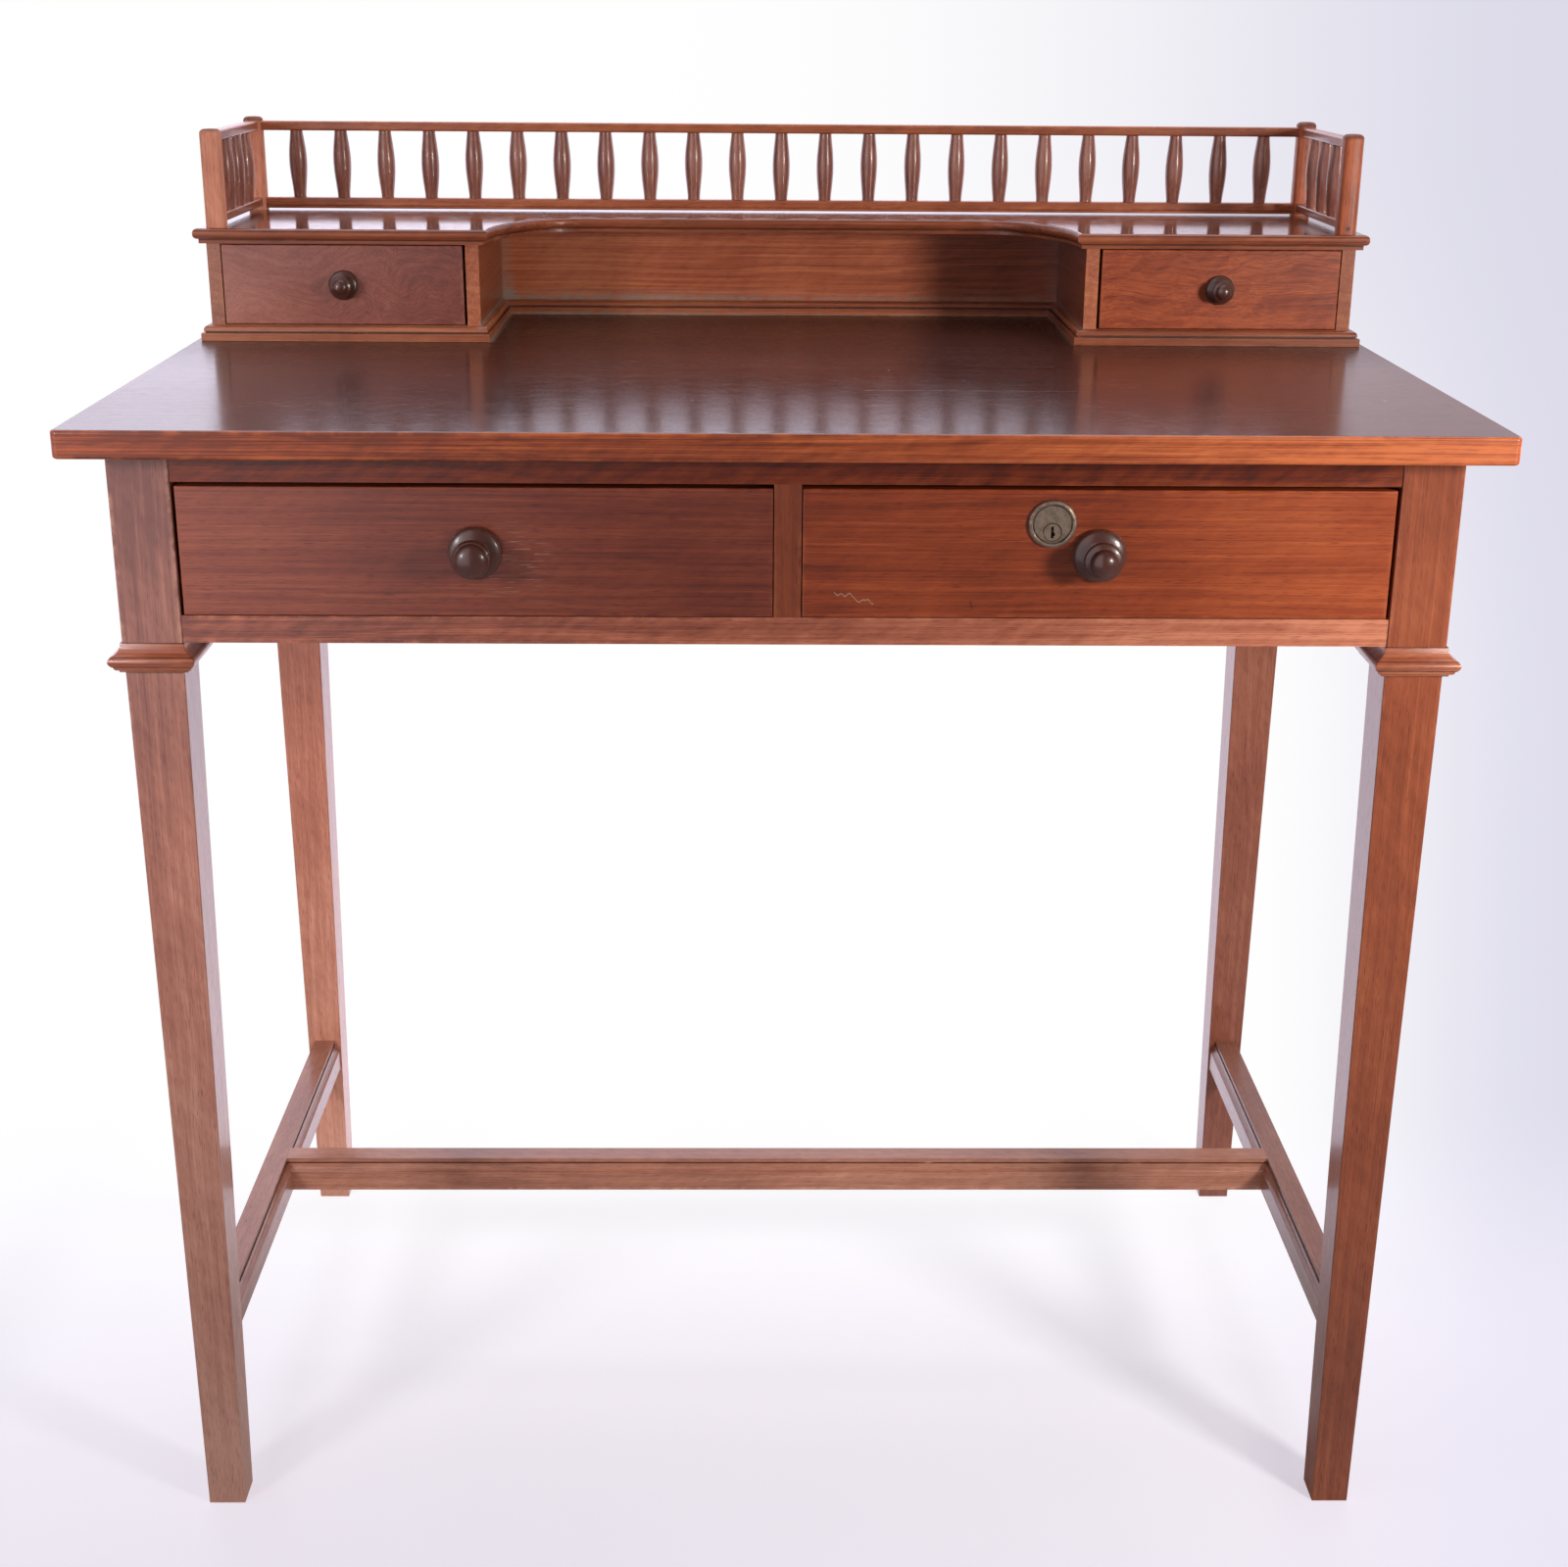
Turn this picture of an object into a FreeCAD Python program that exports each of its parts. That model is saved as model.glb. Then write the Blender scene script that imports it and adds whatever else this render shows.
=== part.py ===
import FreeCAD, Part
import math
import os
import Sketcher
from FreeCAD import Placement, Rotation, Vector

# A lady's writing desk: a table on tapered legs with two wide drawers, carrying two small drawers
# and a shelf with a turned spindle gallery. Millimetres, +Z up, the front faces -Y, and the origin
# lies on the floor under the middle of the top.

doc = FreeCAD.newDocument("writing_desk")
sheet = doc.addObject("Spreadsheet::Sheet", "sizes")
nodes = {}


class Size:
    """A length that follows the sheet, kept as an expression."""

    def __init__(self, text):
        self.text = str(text)

    def __str__(self):
        return self.text

    def __float__(self):
        return float(sheet.evalExpression(self.text))

    def __add__(self, other):
        return Size(f"({self} + {other})")

    def __radd__(self, other):
        return Size(f"({other} + {self})")

    def __sub__(self, other):
        return Size(f"({self} - {other})")

    def __rsub__(self, other):
        return Size(f"({other} - {self})")

    def __mul__(self, other):
        return Size(f"({self} * {other})")

    __rmul__ = __mul__

    def __truediv__(self, other):
        return Size(f"({self} / {other})")

    def __neg__(self):
        return Size(f"(0 - {self})")


def size(alias, value):
    """Write one driving dimension into the sheet."""
    row = len(sheet.getNonEmptyCells()) // 2 + 1
    sheet.set(f"A{row}", alias)
    sheet.set(f"B{row}", str(value))
    sheet.setAlias(f"B{row}", alias)
    return Size(f"sizes.{alias}")


def chord(width, height):
    """Straight distance between two points of an outline."""
    return Size(f"hypot({width}; {height})")


def bulge_radius(span, rise):
    """Radius of the arc that rises so far over such a span."""
    return (span * span / 4 + rise * rise) / (rise * 2)


# Driving dimensions: table
top_width = size("top_width", 850)
top_depth = size("top_depth", 526)
top_thick = size("top_thick", 17)
desk_height = size("desk_height", 764)
top_round = size("top_round", 2)
top_corner = size("top_corner", 4)
side_overhang = size("side_overhang", 20.5)
end_overhang = size("end_overhang", 35)
leg_square = size("leg_square", 37)
taper_square = size("taper_square", 36)
foot_square = size("foot_square", 25)
foot_inset = size("foot_inset", 3.3)
arris = size("arris", 0.8)
collar_height = size("collar_height", 18)
collar_foot = size("collar_foot", 2.5)
collar_bead = size("collar_bead", 3)
collar_quirk = size("collar_quirk", 1)
collar_nose = size("collar_nose", 6)
collar_bulge = size("collar_bulge", 1.5)
rail_inset = size("rail_inset", 1)
rail_depth = size("rail_depth", 45)
upper_rail_height = size("upper_rail_height", 20)
bottom_rail_height = size("bottom_rail_height", 17)
opening_height = size("opening_height", 82)
divider_width = size("divider_width", 16.5)
apron_thick = size("apron_thick", 18)
apron_inset = size("apron_inset", 3)
tenon_length = size("tenon_length", 15)
tenon_thick = size("tenon_thick", 8)
tenon_shoulder = size("tenon_shoulder", 3)

# Driving dimensions: stretchers
stretcher_bottom = size("stretcher_bottom", 128)
stretcher_height = size("stretcher_height", 25)
stretcher_width = size("stretcher_width", 25)
stretcher_flare = size("stretcher_flare", 4.2)
stretcher_side = size("stretcher_side", 15.5)
stretcher_fillet = size("stretcher_fillet", 3.5)
stretcher_quirk = size("stretcher_quirk", 0.7)

# Driving dimensions: drawer supports and running gaps
runner_width = size("runner_width", 22)
centre_runner_width = size("centre_runner_width", 60)
guide_height = size("guide_height", 25)
stop_length = size("stop_length", 30)
stop_depth = size("stop_depth", 15)
stop_height = size("stop_height", 4)
slide_gap = size("slide_gap", 0.3)
side_gap = size("side_gap", 0.6)
head_gap = size("head_gap", 2.5)
worn_gap = size("worn_gap", 2)
fit_gap = size("fit_gap", 0.15)
turn_gap = size("turn_gap", 0.05)

# Driving dimensions: screws
screw_dia = size("screw_dia", 4.5)
screw_head_dia = size("screw_head_dia", 8.5)
screw_head = size("screw_head", 3)
screw_bite = size("screw_bite", 10)

# Driving dimensions: wide drawers
drawer_length = size("drawer_length", 418)
front_thick = size("front_thick", 19)
drawer_side = size("drawer_side", 10)
drawer_back = size("drawer_back", 9)
drawer_floor = size("drawer_floor", 6)
drawer_rise = size("drawer_rise", 9)
drawer_groove = size("drawer_groove", 5)
drawer_tail = size("drawer_tail", 14)

# Driving dimensions: small drawers
small_length = size("small_length", 147)
small_front_thick = size("small_front_thick", 13)
small_side = size("small_side", 7)
small_back = size("small_back", 6)
small_floor = size("small_floor", 4)
small_rise = size("small_rise", 6)
small_groove = size("small_groove", 3)
small_tail = size("small_tail", 9)
small_head_gap = size("small_head_gap", 1)

# Driving dimensions: turned knobs
knob_base_dia = size("knob_base_dia", 32.5)
knob_head_dia = size("knob_head_dia", 23.5)
knob_dome_dia = size("knob_dome_dia", 16.5)
knob_neck_dia = size("knob_neck_dia", 15)
knob_base_thick = size("knob_base_thick", 6)
knob_head_at = size("knob_head_at", 17)
knob_head_thick = size("knob_head_thick", 5)
knob_dome = size("knob_dome", 6)
knob_spigot_dia = size("knob_spigot_dia", 11)
small_knob_base_dia = size("small_knob_base_dia", 21)
small_knob_head_dia = size("small_knob_head_dia", 15)
small_knob_dome_dia = size("small_knob_dome_dia", 9.5)
small_knob_neck_dia = size("small_knob_neck_dia", 9)
small_knob_base_thick = size("small_knob_base_thick", 4)
small_knob_head_at = size("small_knob_head_at", 11)
small_knob_head_thick = size("small_knob_head_thick", 3.5)
small_knob_dome = size("small_knob_dome", 4)
small_knob_spigot_dia = size("small_knob_spigot_dia", 7)

# Driving dimensions: cylinder lock of the right drawer
lock_left = size("lock_left", 29)
lock_up = size("lock_up", 19)
barrel_dia = size("barrel_dia", 22.8)
ring_dia = size("ring_dia", 29.6)
ring_proud = size("ring_proud", 2.5)
ring_lip = size("ring_lip", 0.9)
plug_dia = size("plug_dia", 10.4)
plug_drop = size("plug_drop", 5)
key_slot = size("key_slot", 1.6)
key_height = size("key_height", 7)
key_depth = size("key_depth", 8)
case_width = size("case_width", 42)
case_height = size("case_height", 38)
case_depth = size("case_depth", 12)
case_wall = size("case_wall", 2.5)
bolt_width = size("bolt_width", 18)
bolt_thick = size("bolt_thick", 4)
bolt_throw = size("bolt_throw", 7)
bolt_rest = size("bolt_rest", 0.5)
crank_dia = size("crank_dia", 12)
crank_thick = size("crank_thick", 2.5)
crank_pin_dia = size("crank_pin_dia", 3)
crank_slack = size("crank_slack", 0.95)

# Driving dimensions: superstructure and gallery
box_setback = size("box_setback", 360)
box_width = size("box_width", 825)
box_height = size("box_height", 68.5)
recess_width = size("recess_width", 437)
board_thick = size("board_thick", 9.5)
back_board_thick = size("back_board_thick", 9)
back_inset = size("back_inset", 4)
tongue = size("tongue", 4)
base_height = size("base_height", 11)
base_reach = size("base_reach", 7)
base_fillet = size("base_fillet", 6.4)
base_ovolo = size("base_ovolo", 5)
shelf_thick = size("shelf_thick", 10.5)
nose_reach = size("nose_reach", 7.7)
nose_thick = size("nose_thick", 7.4)
nose_round = size("nose_round", 3.2)
nose_step = size("nose_step", 3.4)
sweep_width = size("sweep_width", 65)
sweep_depth = size("sweep_depth", 100)
sweep_corner = size("sweep_corner", 50)
post_square = size("post_square", 14)
post_height = size("post_height", 70)
post_round = size("post_round", 3)
post_pin_dia = size("post_pin_dia", 8)
post_pin_length = size("post_pin_length", 7)
post_back_inset = size("post_back_inset", 4)
rail_drop = size("rail_drop", 4)
top_rail_height = size("top_rail_height", 7)
gallery_rail_width = size("gallery_rail_width", 9)
low_rail_height = size("low_rail_height", 6.5)
low_rail_gap = size("low_rail_gap", 2.8)
gallery_tenon = size("gallery_tenon", 2.2)
gallery_round = size("gallery_round", 1.5)
spindle_dia = size("spindle_dia", 12)
spindle_end_dia = size("spindle_end_dia", 8.8)
spindle_pin_dia = size("spindle_pin_dia", 5)
spindle_pin = size("spindle_pin", 3.5)
row_end = size("row_end", 25.5)
peg_dia = size("peg_dia", 3.2)
peg_length = size("peg_length", 9)
BACK_SPINDLES = 23
SIDE_SPINDLES = 3
WIDE_TAILS = 3
SMALL_TAILS = 2
doc.recompute()

# Places that several pieces share
under_top = desk_height - top_thick
top_front = -top_depth / 2
leg_out = top_width / 2 - side_overhang
leg_in = leg_out - leg_square
leg_front = top_front + end_overhang
leg_rear = leg_front + leg_square
opening_high = under_top - upper_rail_height
opening_low = opening_high - opening_height
rail_low = opening_low - bottom_rail_height
collar_bottom = rail_low - collar_height
rail_front = leg_front + rail_inset
rail_rear = rail_front + rail_depth
apron_rear = -leg_front - apron_inset
apron_front = apron_rear - apron_thick
apron_out = leg_out - apron_inset
apron_in = apron_out - apron_thick
collar_reach = collar_foot + collar_bead + collar_quirk + collar_bulge
box_front = top_front + box_setback
box_out = box_width / 2
box_in = recess_width / 2
back_rear = -top_front - back_inset
back_front = back_rear - back_board_thick
shelf_low = desk_height + box_height
shelf_high = shelf_low + shelf_thick
post_top = shelf_high + post_height
post_out = box_out
post_in = box_out - post_square
back_post_rear = back_rear - post_back_inset
back_post_front = back_post_rear - post_square
front_post_rear = box_front + post_square
low_rail_low = shelf_high + low_rail_gap
low_rail_high = low_rail_low + low_rail_height
top_rail_high = post_top - rail_drop
top_rail_low = top_rail_high - top_rail_height
TO_FRONT = Rotation(Vector(1, 0, 0), 90)
TO_BACK = Rotation(Vector(1, 0, 0), -90)
UPRIGHT = Rotation()


def turned_by(degrees):
    """Turn about the vertical axis."""
    return Rotation(Vector(0, 0, 1), degrees)


def bind_place(thing, x=0, y=0, z=0, rotation=UPRIGHT):
    """Put an object at a place that follows the sheet."""
    thing.Placement = Placement(Vector(), rotation)
    for axis, value in zip("xyz", (x, y, z)):
        thing.setExpression(f"Placement.Base.{axis}", str(value))
    return thing


def box(name, x, y, z):
    """Block between two limits along each axis."""
    block = doc.addObject("Part::Box", name)
    for side, (low, high) in zip(("Length", "Width", "Height"), (x, y, z)):
        block.setExpression(side, str(high - low))
    return bind_place(block, x[0], y[0], z[0])


def rod(name, dia, length, x=0, y=0, z=0, rotation=UPRIGHT):
    """Round bar that starts at a place and runs along its own axis."""
    bar = doc.addObject("Part::Cylinder", name)
    bar.setExpression("Radius", str(dia / 2))
    bar.setExpression("Height", str(length))
    return bind_place(bar, x, y, z, rotation)


def placed(source, x=0, y=0, z=0, rotation=UPRIGHT):
    """Copy of a piece at another place."""
    copy = doc.addObject("App::Link", source.Name + "_copy")
    copy.LinkedObject = source
    return bind_place(copy, x, y, z, rotation)


def group(name, pieces):
    """Separate solids kept together."""
    together = doc.addObject("Part::Compound", name)
    together.Links = pieces
    return together


def fuse(name, *pieces):
    """One solid made of several blocks."""
    whole = doc.addObject("Part::MultiFuse", name)
    whole.Shapes = list(pieces)
    whole.Refine = True
    return whole


def cut(name, base, *tools):
    """What is left of a piece when its mates are taken out of it."""
    rest = doc.addObject("Part::Cut", name)
    rest.Base = base
    rest.Tool = tools[0] if len(tools) == 1 else fuse(name + "_mates", *tools)
    rest.Refine = True
    return rest


def mirrored(name, source, normal=(1, 0, 0)):
    """The same piece on the other hand."""
    other = doc.addObject("Part::Mirroring", name)
    other.Source = source
    other.Normal = normal
    return other


def rounded(name, source, radius, chosen):
    """A piece with the chosen edges softened."""
    doc.recompute()
    body = doc.addObject("PartDesign::Body", name)
    body.BaseFeature = source
    body.setExpression("Placement", f"{source.Name}.Placement")
    doc.recompute()
    square = body.Tip
    soft = body.newObject("PartDesign::Fillet", name + "_round")
    edges = enumerate(source.Shape.Edges, 1)
    soft.Base = (square, [f"Edge{number}" for number, edge in edges if chosen(edge.BoundBox)])
    soft.setExpression("Radius", str(radius))
    return body


def run_between(start, end, radius, side):
    """Straight run, or an arc with its centre on the left (side 1) or right (side -1)."""
    if not radius:
        return Part.LineSegment(start, end)
    middle = (start + end) / 2
    along = end - start
    left = Vector(-along.y, along.x, 0) / along.Length
    half = along.Length / 2
    height = math.sqrt(float(radius) ** 2 - half ** 2)
    centre = middle + left * side * height
    crown = centre - left * side * float(radius)
    return Part.Arc(start, crown, end) if side > 0 else Part.Arc(end, crown, start)


def outline(body, role, points):
    """Closed sketch through points given as across, up and, for an arc, radius and side."""
    sketch = body.newObject("Sketcher::SketchObject", body.Name + "_outline")
    plane = next(one for one in body.Origin.OriginFeatures if one.Role == role)
    sketch.AttachmentSupport = (plane, "")
    sketch.MapMode = "FlatFace"
    corners = [Vector(float(point[0]), float(point[1]), 0) for point in points]
    ends = []
    for index, point in enumerate(points):
        radius, side = point[2:] if len(point) > 2 else (None, 1)
        sketch.addGeometry(run_between(corners[index - 1], corners[index], radius, side))
        ends.append((1, 2) if side > 0 else (2, 1))
        if radius:
            number = sketch.addConstraint(Sketcher.Constraint("Radius", index, float(radius)))
            sketch.setExpression(f"Constraints[{number}]", str(radius))
    for index, point in enumerate(points):
        following = (index + 1) % len(points)
        meeting = (index, ends[index][1], following, ends[following][0])
        sketch.addConstraint(Sketcher.Constraint("Coincident", *meeting))
        for kind, value in zip(("DistanceX", "DistanceY"), point[:2]):
            rule = Sketcher.Constraint(kind, -1, 1, index, ends[index][1], float(value))
            sketch.setExpression(f"Constraints[{sketch.addConstraint(rule)}]", str(value))
    return sketch


def extruded(name, points, length, role="YZ_Plane"):
    """Bar along +X with a section given as across (+Y) and up (+Z), or a plate drawn on another plane."""
    body = doc.addObject("PartDesign::Body", name)
    sketch = outline(body, role, points)
    pad = body.newObject("PartDesign::Pad", name + "_pad")
    pad.Profile = sketch
    pad.setExpression("Length", str(length))
    return body


def turned(name, points):
    """Piece turned about +Z, with a section given as radius and height."""
    body = doc.addObject("PartDesign::Body", name)
    sketch = outline(body, "XZ_Plane", points)
    lathe = body.newObject("PartDesign::Revolution", name + "_turn")
    lathe.Profile = sketch
    lathe.ReferenceAxis = (sketch, ["V_Axis"])
    lathe.Angle = 360
    return body


def moulding(name, section, length, reach, height, start, end, x=0, y=0):
    """Strip along +X on a wall that faces +Y: start and end are 1 at an outer mitre, -1 at an inner one."""
    bar = extruded(name + "_bar", section, length + reach * 2)
    bind_place(bar, x - reach, y)
    mitre = doc.addObject("Part::Wedge", name + "_mitre")
    limits = {"Xmin": 0, "Xmax": length, "X2min": reach * -start, "X2max": length + reach * end,
              "Ymin": 0, "Ymax": reach, "Zmin": 0, "Zmax": height, "Z2min": 0, "Z2max": height}
    for limit, value in limits.items():
        mitre.setExpression(limit, str(value))
    bind_place(mitre, x, y)
    strip = doc.addObject("Part::Common", name)
    strip.Base = bar
    strip.Tool = mitre
    return strip


def node(label, piece):
    """Name a finished piece."""
    piece.Label = label
    nodes[label] = piece
    return piece


def node_group(label, pieces):
    """Name a set of like pieces."""
    return node(label, group(label, pieces))


def screw(name, grip):
    """Countersunk screw along +Z, its head at the origin."""
    shank = screw_dia / 2
    head = screw_head_dia / 2
    tip = grip + screw_bite
    return turned(name, [(0, 0), (head, 0), (shank, screw_head), (shank, tip), (0, tip)])


def screw_hole(name, grip):
    """The clearance that a screw passes through."""
    shank = screw_dia / 2 + fit_gap
    head = screw_head_dia / 2 + fit_gap
    tip = grip + screw_bite + fit_gap
    seat = [(0, -fit_gap), (head, -fit_gap), (head, 0), (shank, screw_head)]
    return turned(name, seat + [(shank, tip), (0, tip)])


# Rails, aprons and divider of the table frame
def rail_with_tenons(name, y, z, tenon_y):
    """Board between the legs with a tenon at each end."""
    tenon_z = (z[0] + tenon_shoulder, z[1] - tenon_shoulder)
    reach = leg_in + tenon_length
    board = box(name + "_board", (-leg_in, leg_in), y, z)
    tenons = box(name + "_tenons", (-reach, reach), (tenon_y, tenon_y + tenon_thick), tenon_z)
    return fuse(name, board, tenons)


front_tenon = leg_front + (leg_square - tenon_thick) / 2
rail_y = (rail_front, rail_rear)
divider_x = (-divider_width / 2, divider_width / 2)
divider_body = box("divider_body", divider_x, rail_y, (opening_low, opening_high))
divider_tenon = box("divider_tenon", (-tenon_thick / 2, tenon_thick / 2),
                    (rail_front + tenon_shoulder * 3, rail_rear - tenon_shoulder * 3),
                    (opening_low - tenon_shoulder * 2, opening_high + tenon_shoulder * 2))
divider = node("drawer_divider", fuse("drawer_divider", divider_body, divider_tenon))
bottom_rail = rail_with_tenons("bottom_rail", rail_y, (rail_low, opening_low), front_tenon)
node("front_bottom_rail", cut("front_bottom_rail", bottom_rail, divider))
top_rail = rail_with_tenons("top_rail", rail_y, (opening_high, under_top), front_tenon)

back_tenon = apron_front + (apron_thick - tenon_thick) / 2
back_apron = rail_with_tenons("back_apron", (apron_front, apron_rear), (rail_low, under_top), back_tenon)
node("back_apron", back_apron)

side_tenon = apron_in + (apron_thick - tenon_thick) / 2
side_board = box("side_board", (-apron_out, -apron_in), (leg_rear, -leg_rear), (rail_low, under_top))
side_tenons = box("side_tenons", (-side_tenon - tenon_thick, -side_tenon),
                  (leg_rear - tenon_length, -leg_rear + tenon_length),
                  (rail_low + tenon_shoulder, under_top - tenon_shoulder))
side_apron = node("side_apron_left", fuse("side_apron_left", side_board, side_tenons))
node("side_apron_right", mirrored("side_apron_right", side_apron))


# Legs: a square head over a taper that leans in on its inner faces
def leg_blank():
    """Front left leg before its mortises."""
    head = box("leg_head", (-leg_out, -leg_in), (leg_front, leg_rear), (collar_bottom, under_top))
    shoulder = (leg_square - taper_square) / 2
    taper = doc.addObject("Part::Wedge", "leg_taper")
    limits = {"Xmin": foot_inset - leg_out, "Xmax": foot_inset + foot_square - leg_out,
              "X2min": shoulder - leg_out, "X2max": shoulder + taper_square - leg_out,
              "Zmin": -(leg_front + foot_inset + foot_square), "Zmax": -(leg_front + foot_inset),
              "Z2min": -(leg_front + shoulder + taper_square), "Z2max": -(leg_front + shoulder),
              "Ymin": 0, "Ymax": collar_bottom}
    for limit, value in limits.items():
        taper.setExpression(limit, str(value))
    taper.Placement = Placement(Vector(), TO_FRONT)
    return fuse("leg_square_edged", head, taper)


upright = float(leg_square) * 2
front_leg = rounded("front_leg_blank", leg_blank(), arris, lambda edge: edge.ZLength > upright)
back_leg = mirrored("back_leg_blank", front_leg, (0, 1, 0))


# Stretchers: flat top, square fillet and cove over an upright side
def stretcher_section():
    """Section of a stretcher, its left foot at the origin."""
    wide = stretcher_width
    cove_rise = stretcher_height - stretcher_side - stretcher_fillet
    cove = chord(stretcher_flare - stretcher_quirk, cove_rise) * 0.85
    neck = stretcher_height - stretcher_fillet
    return [(0, 0), (wide, 0), (wide, stretcher_side),
            (wide - stretcher_flare + stretcher_quirk, neck, cove, -1),
            (wide - stretcher_flare, neck), (wide - stretcher_flare, stretcher_height),
            (stretcher_flare, stretcher_height), (stretcher_flare, neck),
            (stretcher_flare - stretcher_quirk, neck), (0, stretcher_side, cove, -1)]


stretcher_mid = stretcher_bottom + stretcher_height / 2
leg_lean = stretcher_mid / collar_bottom
leg_mid = leg_out - (foot_inset + foot_square / 2) * (1 - leg_lean) - leg_square / 2 * leg_lean
leg_mid_y = leg_front + leg_out - leg_mid
stretcher_x = -leg_mid - stretcher_width / 2
stretcher_tenon_z = (stretcher_bottom + tenon_shoulder, stretcher_bottom + stretcher_side - tenon_shoulder)
side_bar = extruded("side_stretcher_bar", stretcher_section(), leg_mid_y * -2)
bind_place(side_bar, stretcher_x + stretcher_width, leg_mid_y, stretcher_bottom, turned_by(90))
side_bar_tenon = box("side_stretcher_tenon", (-leg_mid - tenon_thick / 2, -leg_mid + tenon_thick / 2),
                     (leg_mid_y - tenon_thick / 2, -leg_mid_y + tenon_thick / 2), stretcher_tenon_z)
side_bar_between = cut("side_stretcher_between", side_bar, front_leg, back_leg)
side_stretcher = fuse("side_stretcher", side_bar_between, side_bar_tenon)
cross_bar = extruded("cross_stretcher_bar", stretcher_section(), leg_mid * 2)
bind_place(cross_bar, -leg_mid, -stretcher_width / 2, stretcher_bottom)
side_bar_other = mirrored("side_stretcher_bar_other", side_bar)
cross_between = cut("cross_stretcher_between", cross_bar, side_bar, side_bar_other)
cross_tenon = box("cross_stretcher_tenon", (-leg_mid - tenon_thick / 2, leg_mid + tenon_thick / 2),
                  (-tenon_thick / 2, tenon_thick / 2), stretcher_tenon_z)
cross_stretcher = node("cross_stretcher", fuse("cross_stretcher", cross_between, cross_tenon))
node("side_stretcher_left", cut("side_stretcher_left", side_stretcher, cross_stretcher))
node("side_stretcher_right", mirrored("side_stretcher_right", nodes["side_stretcher_left"]))

front_mates = (top_rail, bottom_rail, side_apron, side_stretcher)
node("leg_front_left", cut("leg_front_left", front_leg, *front_mates))
node("leg_front_right", mirrored("leg_front_right", nodes["leg_front_left"]))
node("leg_back_left", cut("leg_back_left", back_leg, back_apron, side_apron, side_stretcher))
node("leg_back_right", mirrored("leg_back_right", nodes["leg_back_left"]))


# Collars: four mitred strips round each leg
def collar_section():
    """Section of a collar strip from its foot up: bead, bull nose and hollow."""
    bead_reach = collar_foot + collar_bead
    nose_reach_in = bead_reach + collar_quirk
    bead_top = collar_bead * 1.4
    nose_top = bead_top + collar_nose
    hollow = chord(nose_reach_in - collar_quirk, collar_height - nose_top)
    return [(0, 0), (collar_foot, 0), (collar_foot, bead_top - collar_bead),
            (bead_reach, bead_top, collar_bead, 1), (nose_reach_in, bead_top),
            (nose_reach_in, nose_top, bulge_radius(collar_nose, collar_bulge), 1),
            (collar_quirk, collar_height, hollow, -1), (0, collar_height)]


collar_strip = moulding("collar_strip", collar_section(), leg_square, collar_reach, collar_height, 1, 1,
                        -leg_square / 2, leg_square / 2)
leg_axis = leg_out - leg_square / 2
leg_axis_y = leg_front + leg_square / 2
collar_strips = []
for leg_x in (-leg_axis, leg_axis):
    for leg_y in (leg_axis_y, -leg_axis_y):
        for quarter in range(4):
            collar_strips.append(placed(collar_strip, leg_x, leg_y, collar_bottom, turned_by(quarter * 90)))
node_group("leg_collars", collar_strips)

# Runners, guides, kickers and stops of the wide drawers
support_y = (rail_rear, apron_front)
side_run_x = (leg_in - runner_width, leg_in)
centre_x = (-centre_runner_width / 2, centre_runner_width / 2)
side_runner = box("side_runner", side_run_x, support_y, (rail_low, opening_low))
centre_runner = box("centre_runner", centre_x, support_y, (rail_low, opening_low))
node_group("drawer_runners", [mirrored("left_runner", side_runner), centre_runner, side_runner])
guide_top = opening_low + guide_height
side_guide = box("side_guide", (leg_in, apron_in), (leg_rear, -leg_rear), (rail_low, guide_top))
centre_guide = box("centre_guide", divider_x, support_y, (opening_low, guide_top))
node_group("drawer_guides", [mirrored("left_guide", side_guide), centre_guide, side_guide])
drawer_mid = (leg_in + divider_width / 2) / 2
stop_front = rail_front + front_thick + slide_gap
stop_places = [sign * (drawer_mid + shift * stop_length * 2.5) for sign in (-1, 1) for shift in (-1, 1)]
stop_y = (stop_front, stop_front + stop_depth)
stop_z = (opening_low, opening_low + stop_height)
stops = [box("stop", (place - stop_length / 2, place + stop_length / 2), stop_y, stop_z)
         for place in stop_places]
node_group("drawer_stops", stops)


# Wide and small drawers
def drawer(name, x, y, z, front, side, back, floor, rise, groove, tail, tails):
    """Drawer of lapped dovetails: its front, pair of sides, back and floor."""
    rear_face = y[0] + front
    tall = z[1] - z[0]
    pitch = tall / tails
    board = y[1] - rear_face + tail
    corners = [(tail, 0), (board, 0), (board, tall), (tail, tall)]
    for count in reversed(range(tails)):
        middle = pitch * (count + 0.5)
        corners += [(tail, middle + pitch * 0.27), (0, middle + pitch * 0.36),
                    (0, middle - pitch * 0.36), (tail, middle - pitch * 0.27)]
    near = extruded(name + "_near_side", corners, side)
    bind_place(near, x[0], rear_face - tail, z[0])
    far = extruded(name + "_far_side", corners, side)
    bind_place(far, x[1] - side, rear_face - tail, z[0])
    inside = (x[0] + side - groove, x[1] - side + groove)
    floor_top = z[0] + rise + floor
    panel = box(name + "_floor", inside, (rear_face - groove, y[1]), (z[0] + rise, floor_top))
    rear = box(name + "_back", inside, (y[1] - back * 2, y[1] - back), (floor_top, z[1] - rise))
    blank = box(name + "_front_blank", x, (y[0], rear_face), z)
    fitted = cut(name + "_front", blank, near, far, panel)
    sides = [cut(name + "_side", one, panel, rear) for one in (near, far)]
    return fitted, group(name + "_sides", sides), rear, panel


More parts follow.
